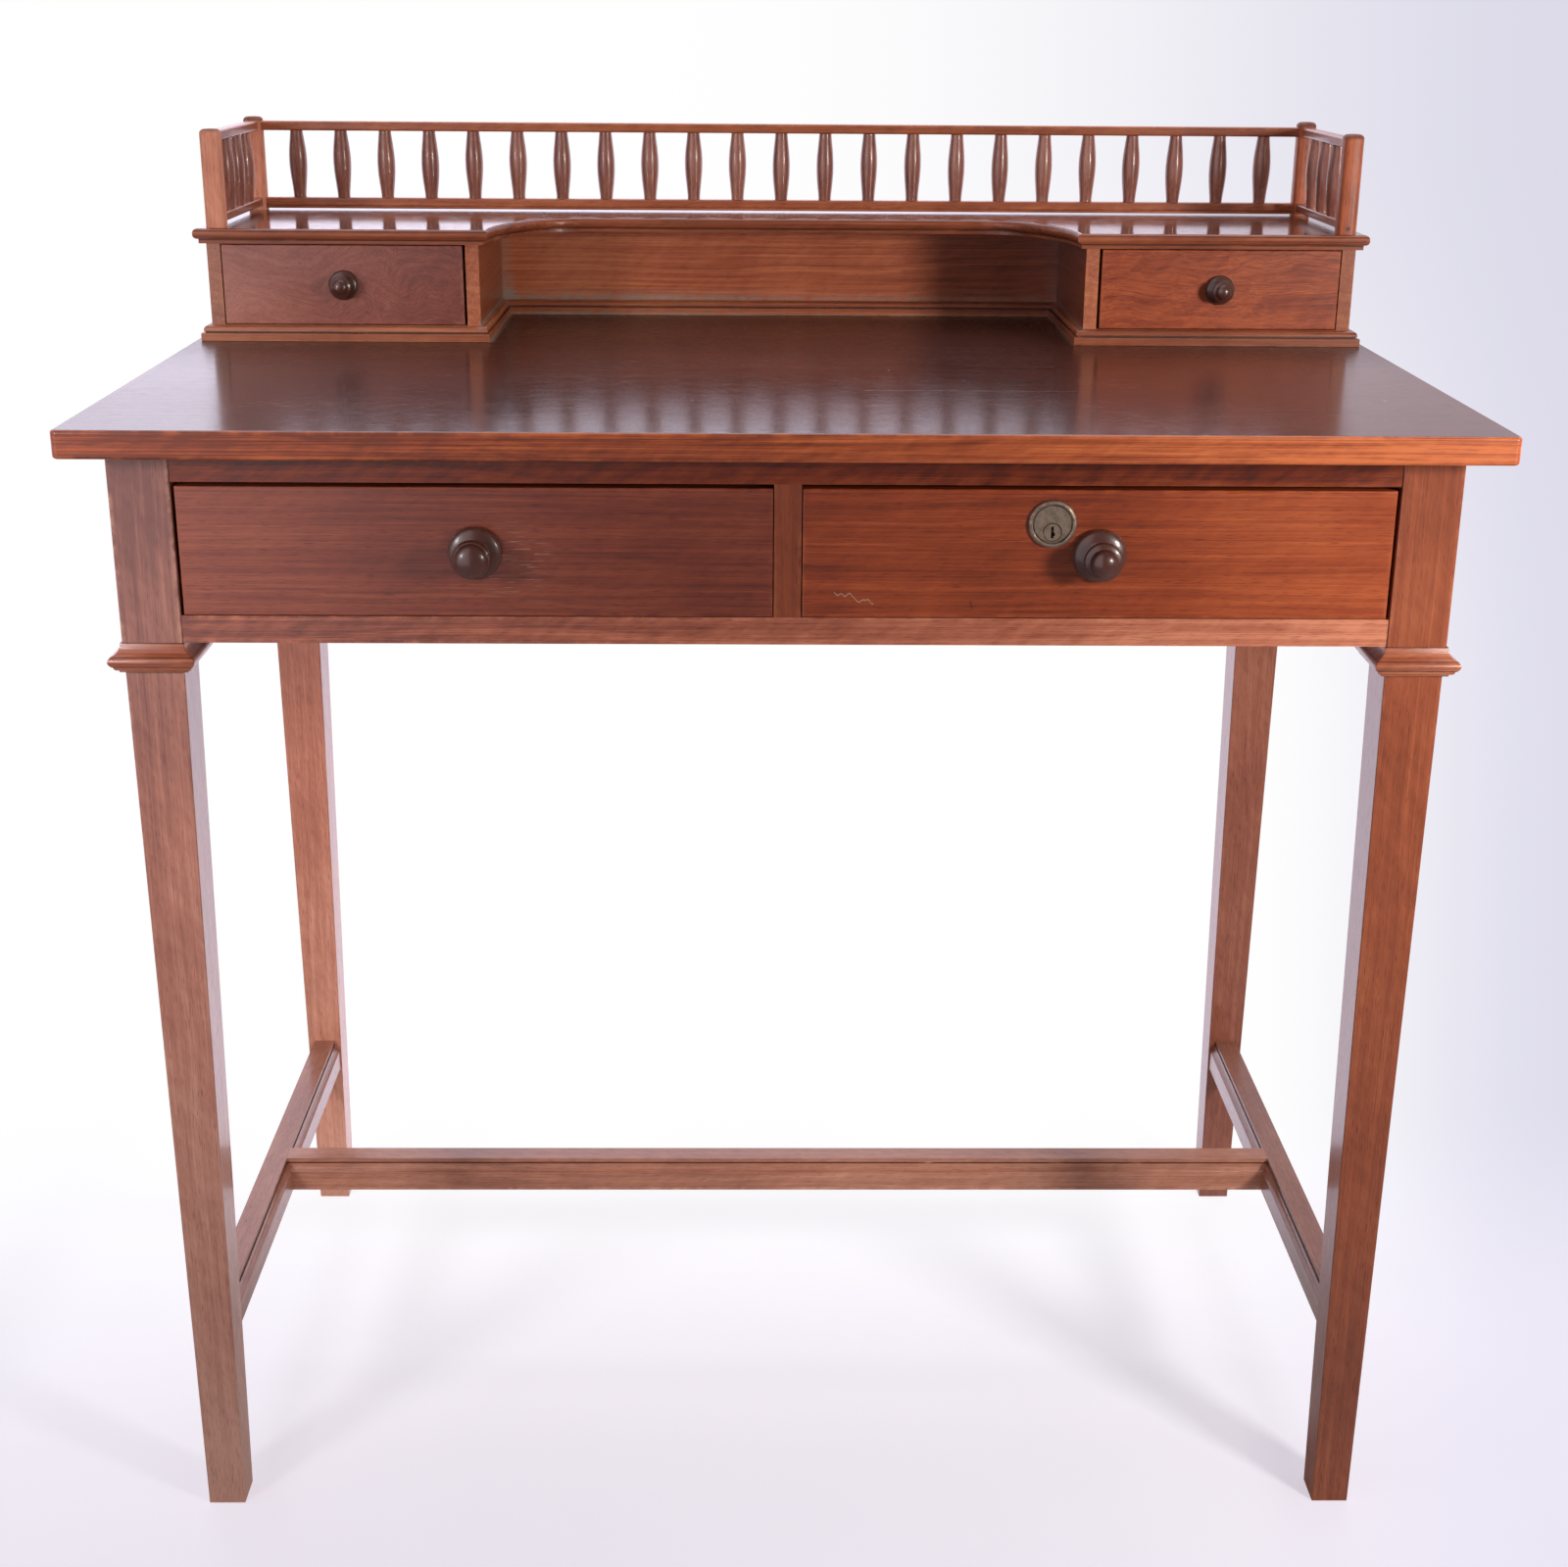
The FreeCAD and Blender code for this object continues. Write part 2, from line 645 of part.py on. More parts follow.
def knob_section(base, head, dome, neck, base_thick, head_at, head_thick, dome_rise, spigot, spigot_length):
    """Section of a turned knob: spigot, moulded base, neck, rimmed head and dome."""
    lip = base_thick / 3
    cap = head_at + head_thick
    rim = (head - dome) / 2
    ogee = chord((base - neck) / 2 - lip, base_thick - lip) * 0.8
    hollow = chord((head - neck) / 2, head_at - base_thick) * 0.75
    return [(0, -spigot_length), (spigot / 2, -spigot_length), (spigot / 2, 0), (base / 2 - lip / 2, 0),
            (base / 2, lip / 2), (base / 2, lip), (base / 2 - lip, lip),
            (neck / 2, base_thick, ogee, 1), (head / 2, head_at, hollow, -1),
            (head / 2, head_at + head_thick / 3), (dome / 2 + rim * 0.25, cap, rim, 1),
            (dome / 2, cap - head_thick / 6),
            (0, cap + dome_rise, bulge_radius(dome, dome_rise + head_thick / 6), 1)]


def front_hole(name, dia, depth, x, y, z):
    """Hole bored from the front face of a drawer."""
    return rod(name, dia + fit_gap * 2, depth, x, y, z, TO_BACK)


wide_x = (divider_width / 2 + side_gap, leg_in - worn_gap)
wide_y = (rail_front, rail_front + drawer_length)
wide_z = (opening_low + slide_gap, opening_high - head_gap)
wide_mid_z = (wide_z[0] + wide_z[1]) / 2
wide_front, wide_sides, wide_back, wide_floor = drawer(
    "wide_drawer", wide_x, wide_y, wide_z, front_thick, drawer_side, drawer_back, drawer_floor,
    drawer_rise, drawer_groove, drawer_tail, WIDE_TAILS)
wide_knob = turned("wide_knob", knob_section(
    knob_base_dia, knob_head_dia, knob_dome_dia, knob_neck_dia, knob_base_thick, knob_head_at,
    knob_head_thick, knob_dome, knob_spigot_dia, front_thick))
bind_place(wide_knob, drawer_mid, rail_front, wide_mid_z, TO_FRONT)
wide_knob_hole = front_hole("wide_knob_hole", knob_spigot_dia, front_thick,
                            drawer_mid, rail_front, wide_mid_z)
wide_bored = cut("wide_drawer_bored", wide_front, wide_knob_hole)

small_x = (box_in + board_thick + worn_gap, box_out - board_thick - side_gap)
small_y = (box_front, box_front + small_length)
small_z = (desk_height + base_height + slide_gap, shelf_low - small_head_gap)
small_mid_x = (small_x[0] + small_x[1]) / 2
small_mid_z = (small_z[0] + small_z[1]) / 2
small_front, small_sides, small_rear, small_panel = drawer(
    "small_drawer", small_x, small_y, small_z, small_front_thick, small_side, small_back, small_floor,
    small_rise, small_groove, small_tail, SMALL_TAILS)
small_knob = turned("small_knob", knob_section(
    small_knob_base_dia, small_knob_head_dia, small_knob_dome_dia, small_knob_neck_dia,
    small_knob_base_thick, small_knob_head_at, small_knob_head_thick, small_knob_dome,
    small_knob_spigot_dia, small_front_thick))
bind_place(small_knob, small_mid_x, box_front, small_mid_z, TO_FRONT)
small_knob_hole = front_hole("small_knob_hole", small_knob_spigot_dia, small_front_thick,
                             small_mid_x, box_front, small_mid_z)
small_bored = cut("small_drawer_bored", small_front, small_knob_hole)


def face_edges(front_face, shortest):
    """Choose the long edges of the face that lies furthest forward."""
    return lambda edge: edge.YMax < float(front_face) + 0.01 and edge.DiagonalLength > float(shortest)


# Cylinder lock: barrel and plug in the drawer front, case and bolt behind it
lock_x = drawer_mid - lock_left
lock_z = wide_mid_z + lock_up
plug_z = lock_z - plug_drop
lock_back = rail_front + front_thick
ring_front = rail_front - ring_proud
barrel_length = ring_proud + front_thick
crank_radius = bolt_throw / 2
bolt_front = lock_back + slide_gap + crank_thick + slide_gap
bolt_y = (bolt_front, bolt_front + bolt_thick)
bolt_top = wide_z[1] - bolt_rest
case_low = wide_z[1] - case_height

barrel_blank = turned("barrel_blank", [
    (0, 0), (barrel_dia / 2, 0), (barrel_dia / 2, front_thick), (ring_dia / 2, front_thick),
    (ring_dia / 2, front_thick + ring_lip), (barrel_dia / 2 + ring_lip, barrel_length, ring_proud * 3, 1),
    (barrel_dia / 2, barrel_length - ring_lip), (0, barrel_length - ring_lip)])
bind_place(barrel_blank, lock_x, lock_back, lock_z, TO_FRONT)
plug_bore = rod("plug_bore", plug_dia + turn_gap * 2, barrel_length, lock_x, ring_front, plug_z, TO_BACK)
node("lock_cylinder", cut("lock_cylinder", barrel_blank, plug_bore))

plug_front = ring_front + ring_lip
crank_front = lock_back + slide_gap
plug_body = rod("plug_body", plug_dia, crank_front - plug_front, lock_x, plug_front, plug_z, TO_BACK)
crank = rod("crank", crank_dia, crank_thick, lock_x, crank_front, plug_z, TO_BACK)
pin_z = plug_z - crank_radius
pin_length = crank_thick + slide_gap + bolt_thick
crank_pin = rod("crank_pin", crank_pin_dia, pin_length, lock_x, crank_front, pin_z, TO_BACK)
slot_y = (plug_front, plug_front + key_depth)
key_way = box("key_way", (lock_x - key_slot / 2, lock_x + key_slot / 2), slot_y,
              (plug_z - key_height / 2, plug_z + key_height / 2))
key_ward = box("key_ward", (lock_x, lock_x + key_slot), slot_y, (plug_z - key_height / 3, plug_z))
node("lock_plug", cut("lock_plug", fuse("plug_with_crank", plug_body, crank, crank_pin), key_way, key_ward))

case_block = box("case_block", (lock_x - case_width / 2, lock_x + case_width / 2),
                 (lock_back, lock_back + case_depth), (case_low, wide_z[1]))
half_bolt = bolt_width / 2
channel = box("case_channel", (lock_x - half_bolt - fit_gap, lock_x + half_bolt + fit_gap),
              (lock_back, bolt_y[1] + slide_gap), (case_low + case_wall, wide_z[1] - case_wall))
bolt_mouth = box("case_mouth", (lock_x - half_bolt - fit_gap, lock_x + half_bolt + fit_gap),
                 (bolt_y[0] - fit_gap, bolt_y[1] + fit_gap), (wide_z[1] - case_wall, wide_z[1]))
bolt_plate = box("bolt_plate", (lock_x - half_bolt, lock_x + half_bolt), bolt_y,
                 (case_low + case_wall + bolt_rest, bolt_top))
slot_half = crank_radius + crank_pin_dia / 2 + bolt_rest
slot_rise = crank_pin_dia / 2 + crank_slack
slot_z = (pin_z - slot_rise, pin_z + slot_rise)
bolt_slot = box("bolt_slot", (lock_x - slot_half, lock_x + slot_half), bolt_y, slot_z)
node("lock_bolt", cut("lock_bolt", bolt_plate, bolt_slot))

lug = (case_width + bolt_width) / 4
lug_z = case_low + case_height / 2
case_screw = screw("case_screw", case_depth)
case_screw_hole = screw_hole("case_screw_hole", case_depth)
lug_places = [(lock_x + sign * lug, lock_back + case_depth, lug_z) for sign in (-1, 1)]
node_group("lock_screws", [placed(case_screw, *place, TO_FRONT) for place in lug_places])
lug_holes = [placed(case_screw_hole, *place, TO_FRONT) for place in lug_places]
node("lock_case", cut("lock_case", case_block, channel, bolt_mouth, *lug_holes))

barrel_hole = front_hole("barrel_hole", barrel_dia, front_thick, lock_x, rail_front, lock_z)
locked_front = cut("locked_front", wide_bored, barrel_hole, *lug_holes)
strike = box("strike", (lock_x - half_bolt - head_gap, lock_x + half_bolt + head_gap),
             (bolt_y[0] - head_gap, bolt_y[1] + head_gap),
             (opening_high, opening_high + bolt_throw + head_gap))
node("front_top_rail", cut("front_top_rail", top_rail, divider, strike))

wide_edges = face_edges(rail_front, knob_base_dia)
small_edges = face_edges(box_front, small_knob_base_dia)
plain_front = rounded("plain_front", wide_bored, arris, wide_edges)
node("left_drawer_front", mirrored("left_drawer_front", plain_front))
node("right_drawer_front", rounded("right_drawer_front", locked_front, arris, wide_edges))
node("upper_right_drawer_front", rounded("upper_right_drawer_front", small_bored, arris, small_edges))
node("upper_left_drawer_front", mirrored("upper_left_drawer_front", nodes["upper_right_drawer_front"]))
right_pieces = {"right_drawer": (wide_sides, wide_back, wide_floor, wide_knob),
                "upper_right_drawer": (small_sides, small_rear, small_panel, small_knob)}
for right_name, pieces in right_pieces.items():
    left_name = right_name.replace("right", "left")
    for kind, piece in zip(("sides", "back", "bottom", "knob"), pieces):
        node(f"{right_name}_{kind}", piece)
        node(f"{left_name}_{kind}", mirrored(f"{left_name}_{kind}", piece))

# Superstructure: sides, floors and back board under the shelf
board_y = (box_front, back_rear)
board_z = (desk_height, shelf_low)
tongue_z = (shelf_low, shelf_low + tongue)
tongue_y = (box_front + post_square, back_front - post_square)
outer_x = (box_out - board_thick, box_out)
inner_x = (box_in, box_in + board_thick)


def tongued(name, x, y):
    """Upright board with a tongue along its top edge."""
    middle = (x[0] + x[1]) / 2
    board = box(name + "_board", x, y, board_z)
    ridge = box(name + "_tongue", (middle - tongue / 2, middle + tongue / 2), tongue_y, tongue_z)
    return fuse(name, board, ridge)


outer_side = tongued("outer_side", outer_x, board_y)
inner_side = tongued("inner_side", inner_x, (box_front, back_front))
floor_z = (desk_height, desk_height + base_height)
box_floor = box("box_floor", (inner_x[1], outer_x[0]), (box_front, back_front), floor_z)
node_group("box_floors", [mirrored("left_floor", box_floor), box_floor])
node("back_board", box("back_board", (-outer_x[0], outer_x[0]), (back_front, back_rear), board_z))


# Base moulding: mitred strips round the foot of both boxes and the recess
def base_section():
    """Section of the base moulding: square fillet under an ovolo."""
    ovolo = chord(base_ovolo - tongue / 4, base_height - base_fillet) * 0.8
    return [(0, 0), (base_reach, 0), (base_reach, base_fillet), (base_ovolo, base_fillet),
            (tongue / 4, base_height, ovolo, 1), (0, base_height)]


def base_strip(name, length, start, end):
    """One strip of base moulding."""
    return moulding(name, base_section(), length, base_reach, base_height, start, end)


front_strip = base_strip("front_strip", box_out - box_in, 1, 1)
outer_strip = base_strip("outer_strip", back_rear - box_front, 1, 0)
inner_strip = base_strip("inner_strip", back_front - box_front, -1, 1)
back_strip = base_strip("back_strip", recess_width, -1, -1)
left_strips = group("left_strips", [
    placed(front_strip, -box_in, box_front, desk_height, turned_by(180)),
    placed(outer_strip, -box_out, box_front, desk_height, turned_by(90)),
    placed(inner_strip, -box_in, back_front, desk_height, turned_by(-90))])
back_run = placed(back_strip, box_in, back_front, desk_height, turned_by(180))
node_group("base_mouldings", [left_strips, back_run, mirrored("right_strips", left_strips)])


# Shelf: a swept recess in its front edge, a bull nose over a small square fillet
def shelf_plate(name, inset, z):
    """Plate of the shelf outline, drawn in by an inset on its moulded edges."""
    out = box_out + nose_reach - inset
    front = box_front - nose_reach + inset
    middle = box_in - nose_reach - sweep_width
    wide = sweep_width + inset
    tight = sweep_corner + inset
    easy = (wide * wide + sweep_depth * sweep_depth - sweep_depth * tight * 2) / ((wide - tight) * 2)
    share = easy / (easy - tight)
    meet_x = middle + (easy - wide) * (share - 1)
    meet_y = front + (sweep_depth - tight) * share
    deep = front + sweep_depth
    corners = [(out, -top_front), (-out, -top_front), (-out, front), (-middle - wide, front),
               (-meet_x, meet_y, easy, -1), (-middle, deep, tight, -1), (middle, deep),
               (meet_x, meet_y, tight, -1), (middle + wide, front, easy, -1), (out, front)]
    return bind_place(extruded(name, corners, z[1] - z[0], "XY_Plane"), 0, 0, z[0])


nose_low = shelf_high - nose_thick
nose_plate = shelf_plate("nose_plate", Size(0), (nose_low, shelf_high))
shelf_back = -float(top_front)


def is_nose_edge(edge):
    """Choose the level edges, apart from those of the square back."""
    return edge.ZLength < 0.01 and edge.YMin < shelf_back - 0.01


nosed_plate = rounded("nosed_plate", nose_plate, nose_round, is_nose_edge)
fillet_plate = shelf_plate("fillet_plate", nose_step, (shelf_low, shelf_high - nose_thick / 2))
shelf_blank = fuse("shelf_blank", nosed_plate, fillet_plate)

# Gallery: posts, rails and spindles
post_block = box("post_block", (post_in, post_out), (box_front, front_post_rear), (shelf_high, post_top))
post_head = float(post_top)
domed_post = rounded("domed_post", post_block, post_round, lambda edge: edge.ZMin > post_head - 0.01)
post_axis = post_out - post_square / 2
pin_low = shelf_high - post_pin_length
front_pin = rod("front_post_pin", post_pin_dia, post_pin_length + post_round, post_axis,
                box_front + post_square / 2, pin_low)
front_post = fuse("front_post", domed_post, front_pin)
post_shift = back_post_front - box_front
back_post = group("back_post", [placed(front_post, 0, post_shift, 0)])


def gallery_rail(name, x, y, z):
    """Slim rail with softened long edges and no tenons."""
    along = 0 if float(x[1] - x[0]) > float(y[1] - y[0]) else 1
    longest = float((x[1] - x[0], y[1] - y[0])[along]) - 1
    bar = box(name + "_bar", x, y, z)
    return rounded(name, bar, gallery_round, lambda edge: edge.DiagonalLength > longest)


rail_side_x = (post_axis - gallery_rail_width / 2, post_axis + gallery_rail_width / 2)
back_post_axis = back_post_front + post_square / 2
rail_back_y = (back_post_axis - gallery_rail_width / 2, back_post_axis + gallery_rail_width / 2)
rail_heights = {"top": (top_rail_low, top_rail_high), "low": (low_rail_low, low_rail_high)}
rail_back_x = (-post_in - gallery_tenon, post_in + gallery_tenon)
rail_side_y = (front_post_rear - gallery_tenon, back_post_front + gallery_tenon)
back_rails = [gallery_rail(f"back_{name}_rail", rail_back_x, rail_back_y, z)
              for name, z in rail_heights.items()]
side_rails = [gallery_rail(f"side_{name}_rail", rail_side_x, rail_side_y, z)
              for name, z in rail_heights.items()]

spindle_height = top_rail_low - low_rail_high
spindle_bulge = (spindle_dia - spindle_end_dia) / 2
spindle_pin_tip = spindle_height + spindle_pin
spindle = turned("spindle", [
    (0, -spindle_pin), (spindle_pin_dia / 2, -spindle_pin), (spindle_pin_dia / 2, 0),
    (spindle_end_dia / 2, 0),
    (spindle_end_dia / 2, spindle_height, bulge_radius(spindle_height, spindle_bulge), 1),
    (spindle_pin_dia / 2, spindle_height), (spindle_pin_dia / 2, spindle_pin_tip), (0, spindle_pin_tip)])
pin_hole = rod("spindle_hole", spindle_pin_dia + fit_gap * 2, spindle_height + (spindle_pin + fit_gap) * 2)
back_pitch = (post_in - row_end) * 2 / (BACK_SPINDLES - 1)
side_pitch = (back_post_front - front_post_rear) / (SIDE_SPINDLES + 1)
back_places = [(back_pitch * count + row_end - post_in, back_post_axis) for count in range(BACK_SPINDLES)]
side_places = [(post_axis, front_post_rear + side_pitch * (count + 1)) for count in range(SIDE_SPINDLES)]
hole_low = low_rail_high - spindle_pin - fit_gap
node_group("back_spindles", [placed(spindle, *place, low_rail_high) for place in back_places])
right_spindles = group("right_spindles", [placed(spindle, *place, low_rail_high) for place in side_places])
node_group("side_spindles", [mirrored("left_spindles", right_spindles), right_spindles])
back_holes = group("back_holes", [placed(pin_hole, *place, hole_low) for place in back_places])
side_holes = group("side_holes", [placed(pin_hole, *place, hole_low) for place in side_places])
node_group("gallery_back_rails", [cut("back_rail", rail, back_holes) for rail in back_rails])
right_rails = group("right_rails", [cut("side_rail", rail, side_holes) for rail in side_rails])
node_group("gallery_side_rails", [mirrored("left_rails", right_rails), right_rails])

peg_y = box_front + peg_length
peg_z = shelf_high + post_pin_dia / 2
node("post_peg", rod("post_peg", peg_dia, peg_length + fit_gap, post_axis, peg_y, peg_z, TO_FRONT))
peg_hole = rod("peg_hole", peg_dia + fit_gap * 2, peg_length + fit_gap * 2, post_axis,
               peg_y + fit_gap, peg_z, TO_FRONT)
right_front_post = cut("right_front_post", front_post, *side_rails)
right_back_post = cut("right_back_post", back_post, *side_rails, *back_rails)
left_posts = mirrored("left_posts", group("plain_posts", [right_front_post, right_back_post]))
pegged_post = cut("pegged_post", right_front_post, peg_hole)
node_group("gallery_posts", [left_posts, pegged_post, right_back_post])

# Screws: from the kickers into the top, and from the top into the superstructure
kicker_z = (opening_high, under_top)
kicker_height = under_top - opening_high
kicker_mid = leg_in - runner_width / 2
sink = top_thick / 2
kicker_grip = kicker_height - sink
kicker_screw = screw("kicker_screw", kicker_grip)
kicker_hole = screw_hole("kicker_screw_hole", kicker_grip)
kicker_end = (apron_front - rail_rear) / 2 - centre_runner_width
kicker_middle = (apron_front + rail_rear) / 2
screw_rows = [kicker_middle - kicker_end, kicker_middle + kicker_end]
kicker_places = [(x, y, opening_high + sink) for x in (-kicker_mid, 0, kicker_mid) for y in screw_rows]
box_screw = screw("box_screw", top_thick)
box_hole = screw_hole("box_screw_hole", top_thick)
outer_mid = box_out - board_thick / 2
inner_mid = box_in + board_thick / 2
box_rows = [box_front + post_square * 2, back_front - post_square * 2]
box_places = [(x, y, under_top) for x in (-outer_mid, -inner_mid, inner_mid, outer_mid) for y in box_rows]
kicker_screws = [placed(kicker_screw, *place) for place in kicker_places]
box_screws = [placed(box_screw, *place) for place in box_places]
node_group("top_screws", kicker_screws + box_screws)
kicker_holes = group("kicker_holes", [placed(kicker_hole, *place) for place in kicker_places])
bore_dia = screw_head_dia + fit_gap * 2
counterbores = group("counterbores", [rod("counterbore", bore_dia, sink, x, y, opening_high)
                                      for x, y, _ in kicker_places])
box_holes = group("box_holes", [placed(box_hole, *place) for place in box_places])


def kicker(name, x):
    """Bar over the drawer sides that carries the top's screws."""
    bar = box(name + "_bar", x, support_y, kicker_z)
    return cut(name, cut(name + "_bored", bar, kicker_holes), counterbores)


kickers = [kicker("right_kicker", side_run_x), kicker("centre_kicker", centre_x)]
node_group("drawer_kickers", [mirrored("left_kicker", kickers[0]), *kickers])
top_x = (-top_width / 2, top_width / 2)
top_block = box("top_block", top_x, (top_front, -top_front), (under_top, desk_height))
cornered_top = rounded("cornered_top", top_block, top_corner, lambda edge: edge.ZLength > 0.01)
soft_top = rounded("soft_top", cornered_top, top_round, lambda edge: edge.ZLength < 0.01)
node("table_top", cut("table_top", cut("top_for_boxes", soft_top, box_holes), kicker_holes))
node("outer_side_right", cut("outer_side_right", outer_side, box_holes))
node("outer_side_left", mirrored("outer_side_left", nodes["outer_side_right"]))
node("inner_side_right", cut("inner_side_right", inner_side, box_holes))
node("inner_side_left", mirrored("inner_side_left", nodes["inner_side_right"]))

# The shelf takes the tongues of the sides and the pins of the posts
post_pin_hole = rod("post_pin_hole", post_pin_dia + fit_gap * 2, post_pin_length + fit_gap)
pin_rows = (box_front + post_square / 2, back_post_axis)
post_holes = [placed(post_pin_hole, x, y, pin_low - fit_gap)
              for x in (-post_axis, post_axis) for y in pin_rows]
left_tongues = [mirrored("outer_left_whole", outer_side), mirrored("inner_left_whole", inner_side)]
node("gallery_shelf", cut("gallery_shelf", shelf_blank, outer_side, inner_side, *left_tongues, *post_holes))

doc.recompute()
faulty = [thing.Label for thing in doc.Objects if {"Invalid", "Error"} & set(thing.State)]
faulty += [label for label, piece in nodes.items() if piece.Shape.isNull() or not piece.Shape.isValid()]
if faulty:
    raise SystemExit("not built: " + ", ".join(faulty))
os.makedirs("parts", exist_ok=True)
for label, piece in nodes.items():
    piece.Shape.exportStep(f"parts/{label}.step")
    print(label, len(piece.Shape.Solids), round(piece.Shape.Volume / 1000, 2), "cm3")
print(len(nodes), "nodes")
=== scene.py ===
"""Finish, turned and moulded pieces and stage of a lady's writing desk with a spindle gallery."""
import math

import bpy
import numpy as np
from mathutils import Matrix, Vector


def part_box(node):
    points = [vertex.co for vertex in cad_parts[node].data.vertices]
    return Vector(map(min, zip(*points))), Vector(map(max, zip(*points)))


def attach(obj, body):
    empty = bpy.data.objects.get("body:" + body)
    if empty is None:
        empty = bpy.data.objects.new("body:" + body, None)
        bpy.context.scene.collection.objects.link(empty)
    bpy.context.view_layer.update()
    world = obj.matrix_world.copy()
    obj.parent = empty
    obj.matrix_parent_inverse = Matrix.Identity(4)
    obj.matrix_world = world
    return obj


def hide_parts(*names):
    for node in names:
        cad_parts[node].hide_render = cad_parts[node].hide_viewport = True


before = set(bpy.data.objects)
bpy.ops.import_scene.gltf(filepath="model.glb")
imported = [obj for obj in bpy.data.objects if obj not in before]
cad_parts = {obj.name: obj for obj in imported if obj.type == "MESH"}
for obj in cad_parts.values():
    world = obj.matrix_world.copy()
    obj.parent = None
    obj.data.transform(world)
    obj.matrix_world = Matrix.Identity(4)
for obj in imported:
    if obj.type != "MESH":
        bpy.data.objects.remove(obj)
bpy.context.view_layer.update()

bl_info = {
    "name": "Writing Desk Finish",
    "version": (1, 0, 0),
    "blender": (4, 5, 0),
    "location": "View3D > Sidebar > Desk",
    "description": "Polish, turnings, mouldings, lock and stage of a writing desk",
    "category": "Object",
}


MM = 0.001
SHARP_ANGLE = math.radians(34)
WHITE = (1, 1, 1)
# Dark of the quirk lines: partly grime, partly painted shade in the creases.
SHADE_AND_DIRT = (0.02, 0.007, 0.004)

# The woods: mean of a noise, tones of the dark, body and pale colour, how far growth layers are warped in metres,
# how many there are to a metre, slant of the ribbons, and the turn that brings each grain direction to x.
MEAN = 0.5
TONE_STOPS = (0.25, 0.5, 0.75)
WARP_DEPTH = 0.05
LAYERS_PER_METRE = 230
RIBBON_SLANT = (0.3, 0.42, 0.42)
TURN = {"X": (0, 0, 0), "Y": (0, 0, -math.pi / 2), "Z": (0, math.pi / 2, 0)}

# Noise drawn out along the grain: scale along it, scale across it, detail and roughness.
FIGURE = {
    "warp": (2.4, 7.0, 3, 0.55),
    "streak": (10, 520, 3, 0.6),
    "hair": (7, 1250, 2, 0.6),
    "band": (2.6, 60, 3, 0.55),
    "cross": (14, 150, 3, 0.55),
    "pore": (110, 2400, 1, 0.5),
    "ridge": (2.5, 600, 2, 0.5),
}

# The grey right-hand side of the surroundings, painted shade on the backdrop: where it starts and ends, as sideways
# gives it, and its colours on the near floor, low down and high up.
GREY_START, GREY_END = (0.2, 0.36), (0.38, 0.6)
GREY_NEAR, GREY_LOW, GREY_HIGH = (0.43, 0.415, 0.515), (0.745, 0.73, 0.845), (0.72, 0.705, 0.815)


# ---------------------------------------------------------------- sizes and colours

def tint(name, description, default):
    """Property of a colour, in linear red, green and blue."""
    return bpy.props.FloatVectorProperty(name=name, description=description, default=default,
                                         subtype="COLOR", size=3, min=0, max=1)


def length(name, description, default):
    """Property of a length in metres."""
    return bpy.props.FloatProperty(name=name, description=description, default=default, unit="LENGTH")


def share(name, description, default):
    """Property of a part of one."""
    return bpy.props.FloatProperty(name=name, description=description, default=default,
                                   subtype="FACTOR", min=0, max=1)


class DeskFinish(bpy.types.PropertyGroup):
    """Colours and gloss of the woods and metals."""
    case_dark: tint("Case dark", "Darkest streaks of the legs, rails and fronts", (0.125, 0.024, 0.009))
    case_mid: tint("Case", "Body colour of the legs, rails and fronts", (0.29, 0.064, 0.022))
    case_light: tint("Case light", "Palest streaks of the legs, rails and fronts", (0.45, 0.128, 0.046))
    top_dark: tint("Top dark", "Darkest streaks of the writing surface", (0.022, 0.0045, 0.0028))
    top_mid: tint("Top", "Body colour of the writing surface", (0.060, 0.0115, 0.0055))
    top_light: tint("Top light", "Palest streaks of the writing surface", (0.115, 0.025, 0.011))
    inner_dark: tint("Lining dark", "Darkest streaks of the drawer linings", (0.16, 0.074, 0.034))
    inner_mid: tint("Lining", "Body colour of the drawer linings and runners", (0.35, 0.172, 0.084))
    inner_light: tint("Lining light", "Palest streaks of the drawer linings", (0.48, 0.27, 0.142))
    knob: tint("Knob", "Stained wood of the knobs", (0.088, 0.027, 0.018))
    knob_worn: tint("Knob worn", "Rubbed rims of the knobs", (0.12, 0.055, 0.038))
    brass: tint("Lock", "Dull brass of the lock", (0.31, 0.22, 0.162))
    brass_dark: tint("Lock tarnish", "Tarnish in the hollows of the lock", (0.095, 0.068, 0.052))
    steel: tint("Steel", "Iron of the screws, lock case and bolt", (0.23, 0.22, 0.205))
    rust: tint("Rust", "Rust on the iron", (0.13, 0.055, 0.025))
    dust: tint("Dust", "Dust and old wax in the recess corners", (0.27, 0.245, 0.205))
    case_gloss: share("Case roughness", "Roughness of the polish on the case", 0.34)
    top_gloss: share("Top roughness", "Roughness of the polish on the writing surface", 0.16)


class DeskShapes(bpy.types.PropertyGroup):
    """Sizes of the turned and moulded pieces."""
    knob_base: length("Knob base", "Diameter of a wide drawer's knob at its base", 0.0325)
    knob_reach: length("Knob reach", "How far a wide drawer's knob stands out", 0.028)
    small_base: length("Small knob base", "Diameter of a small drawer's knob at its base", 0.021)
    small_reach: length("Small knob reach", "How far a small drawer's knob stands out", 0.0185)
    spindle_end: length("Spindle end", "Diameter of a spindle at its ends", 0.0094)
    spindle_mid: length("Spindle middle", "Diameter of a spindle at its swell", 0.0136)
    mitre_round: length("Mitre rounding", "Rounding of the collar corners", 0.0006)
    post_round: length("Post rounding", "Rounding of the gallery posts' corners", 0.0042)
    post_dome: length("Post dome", "Rise of the domed heads of the gallery posts", 0.003)


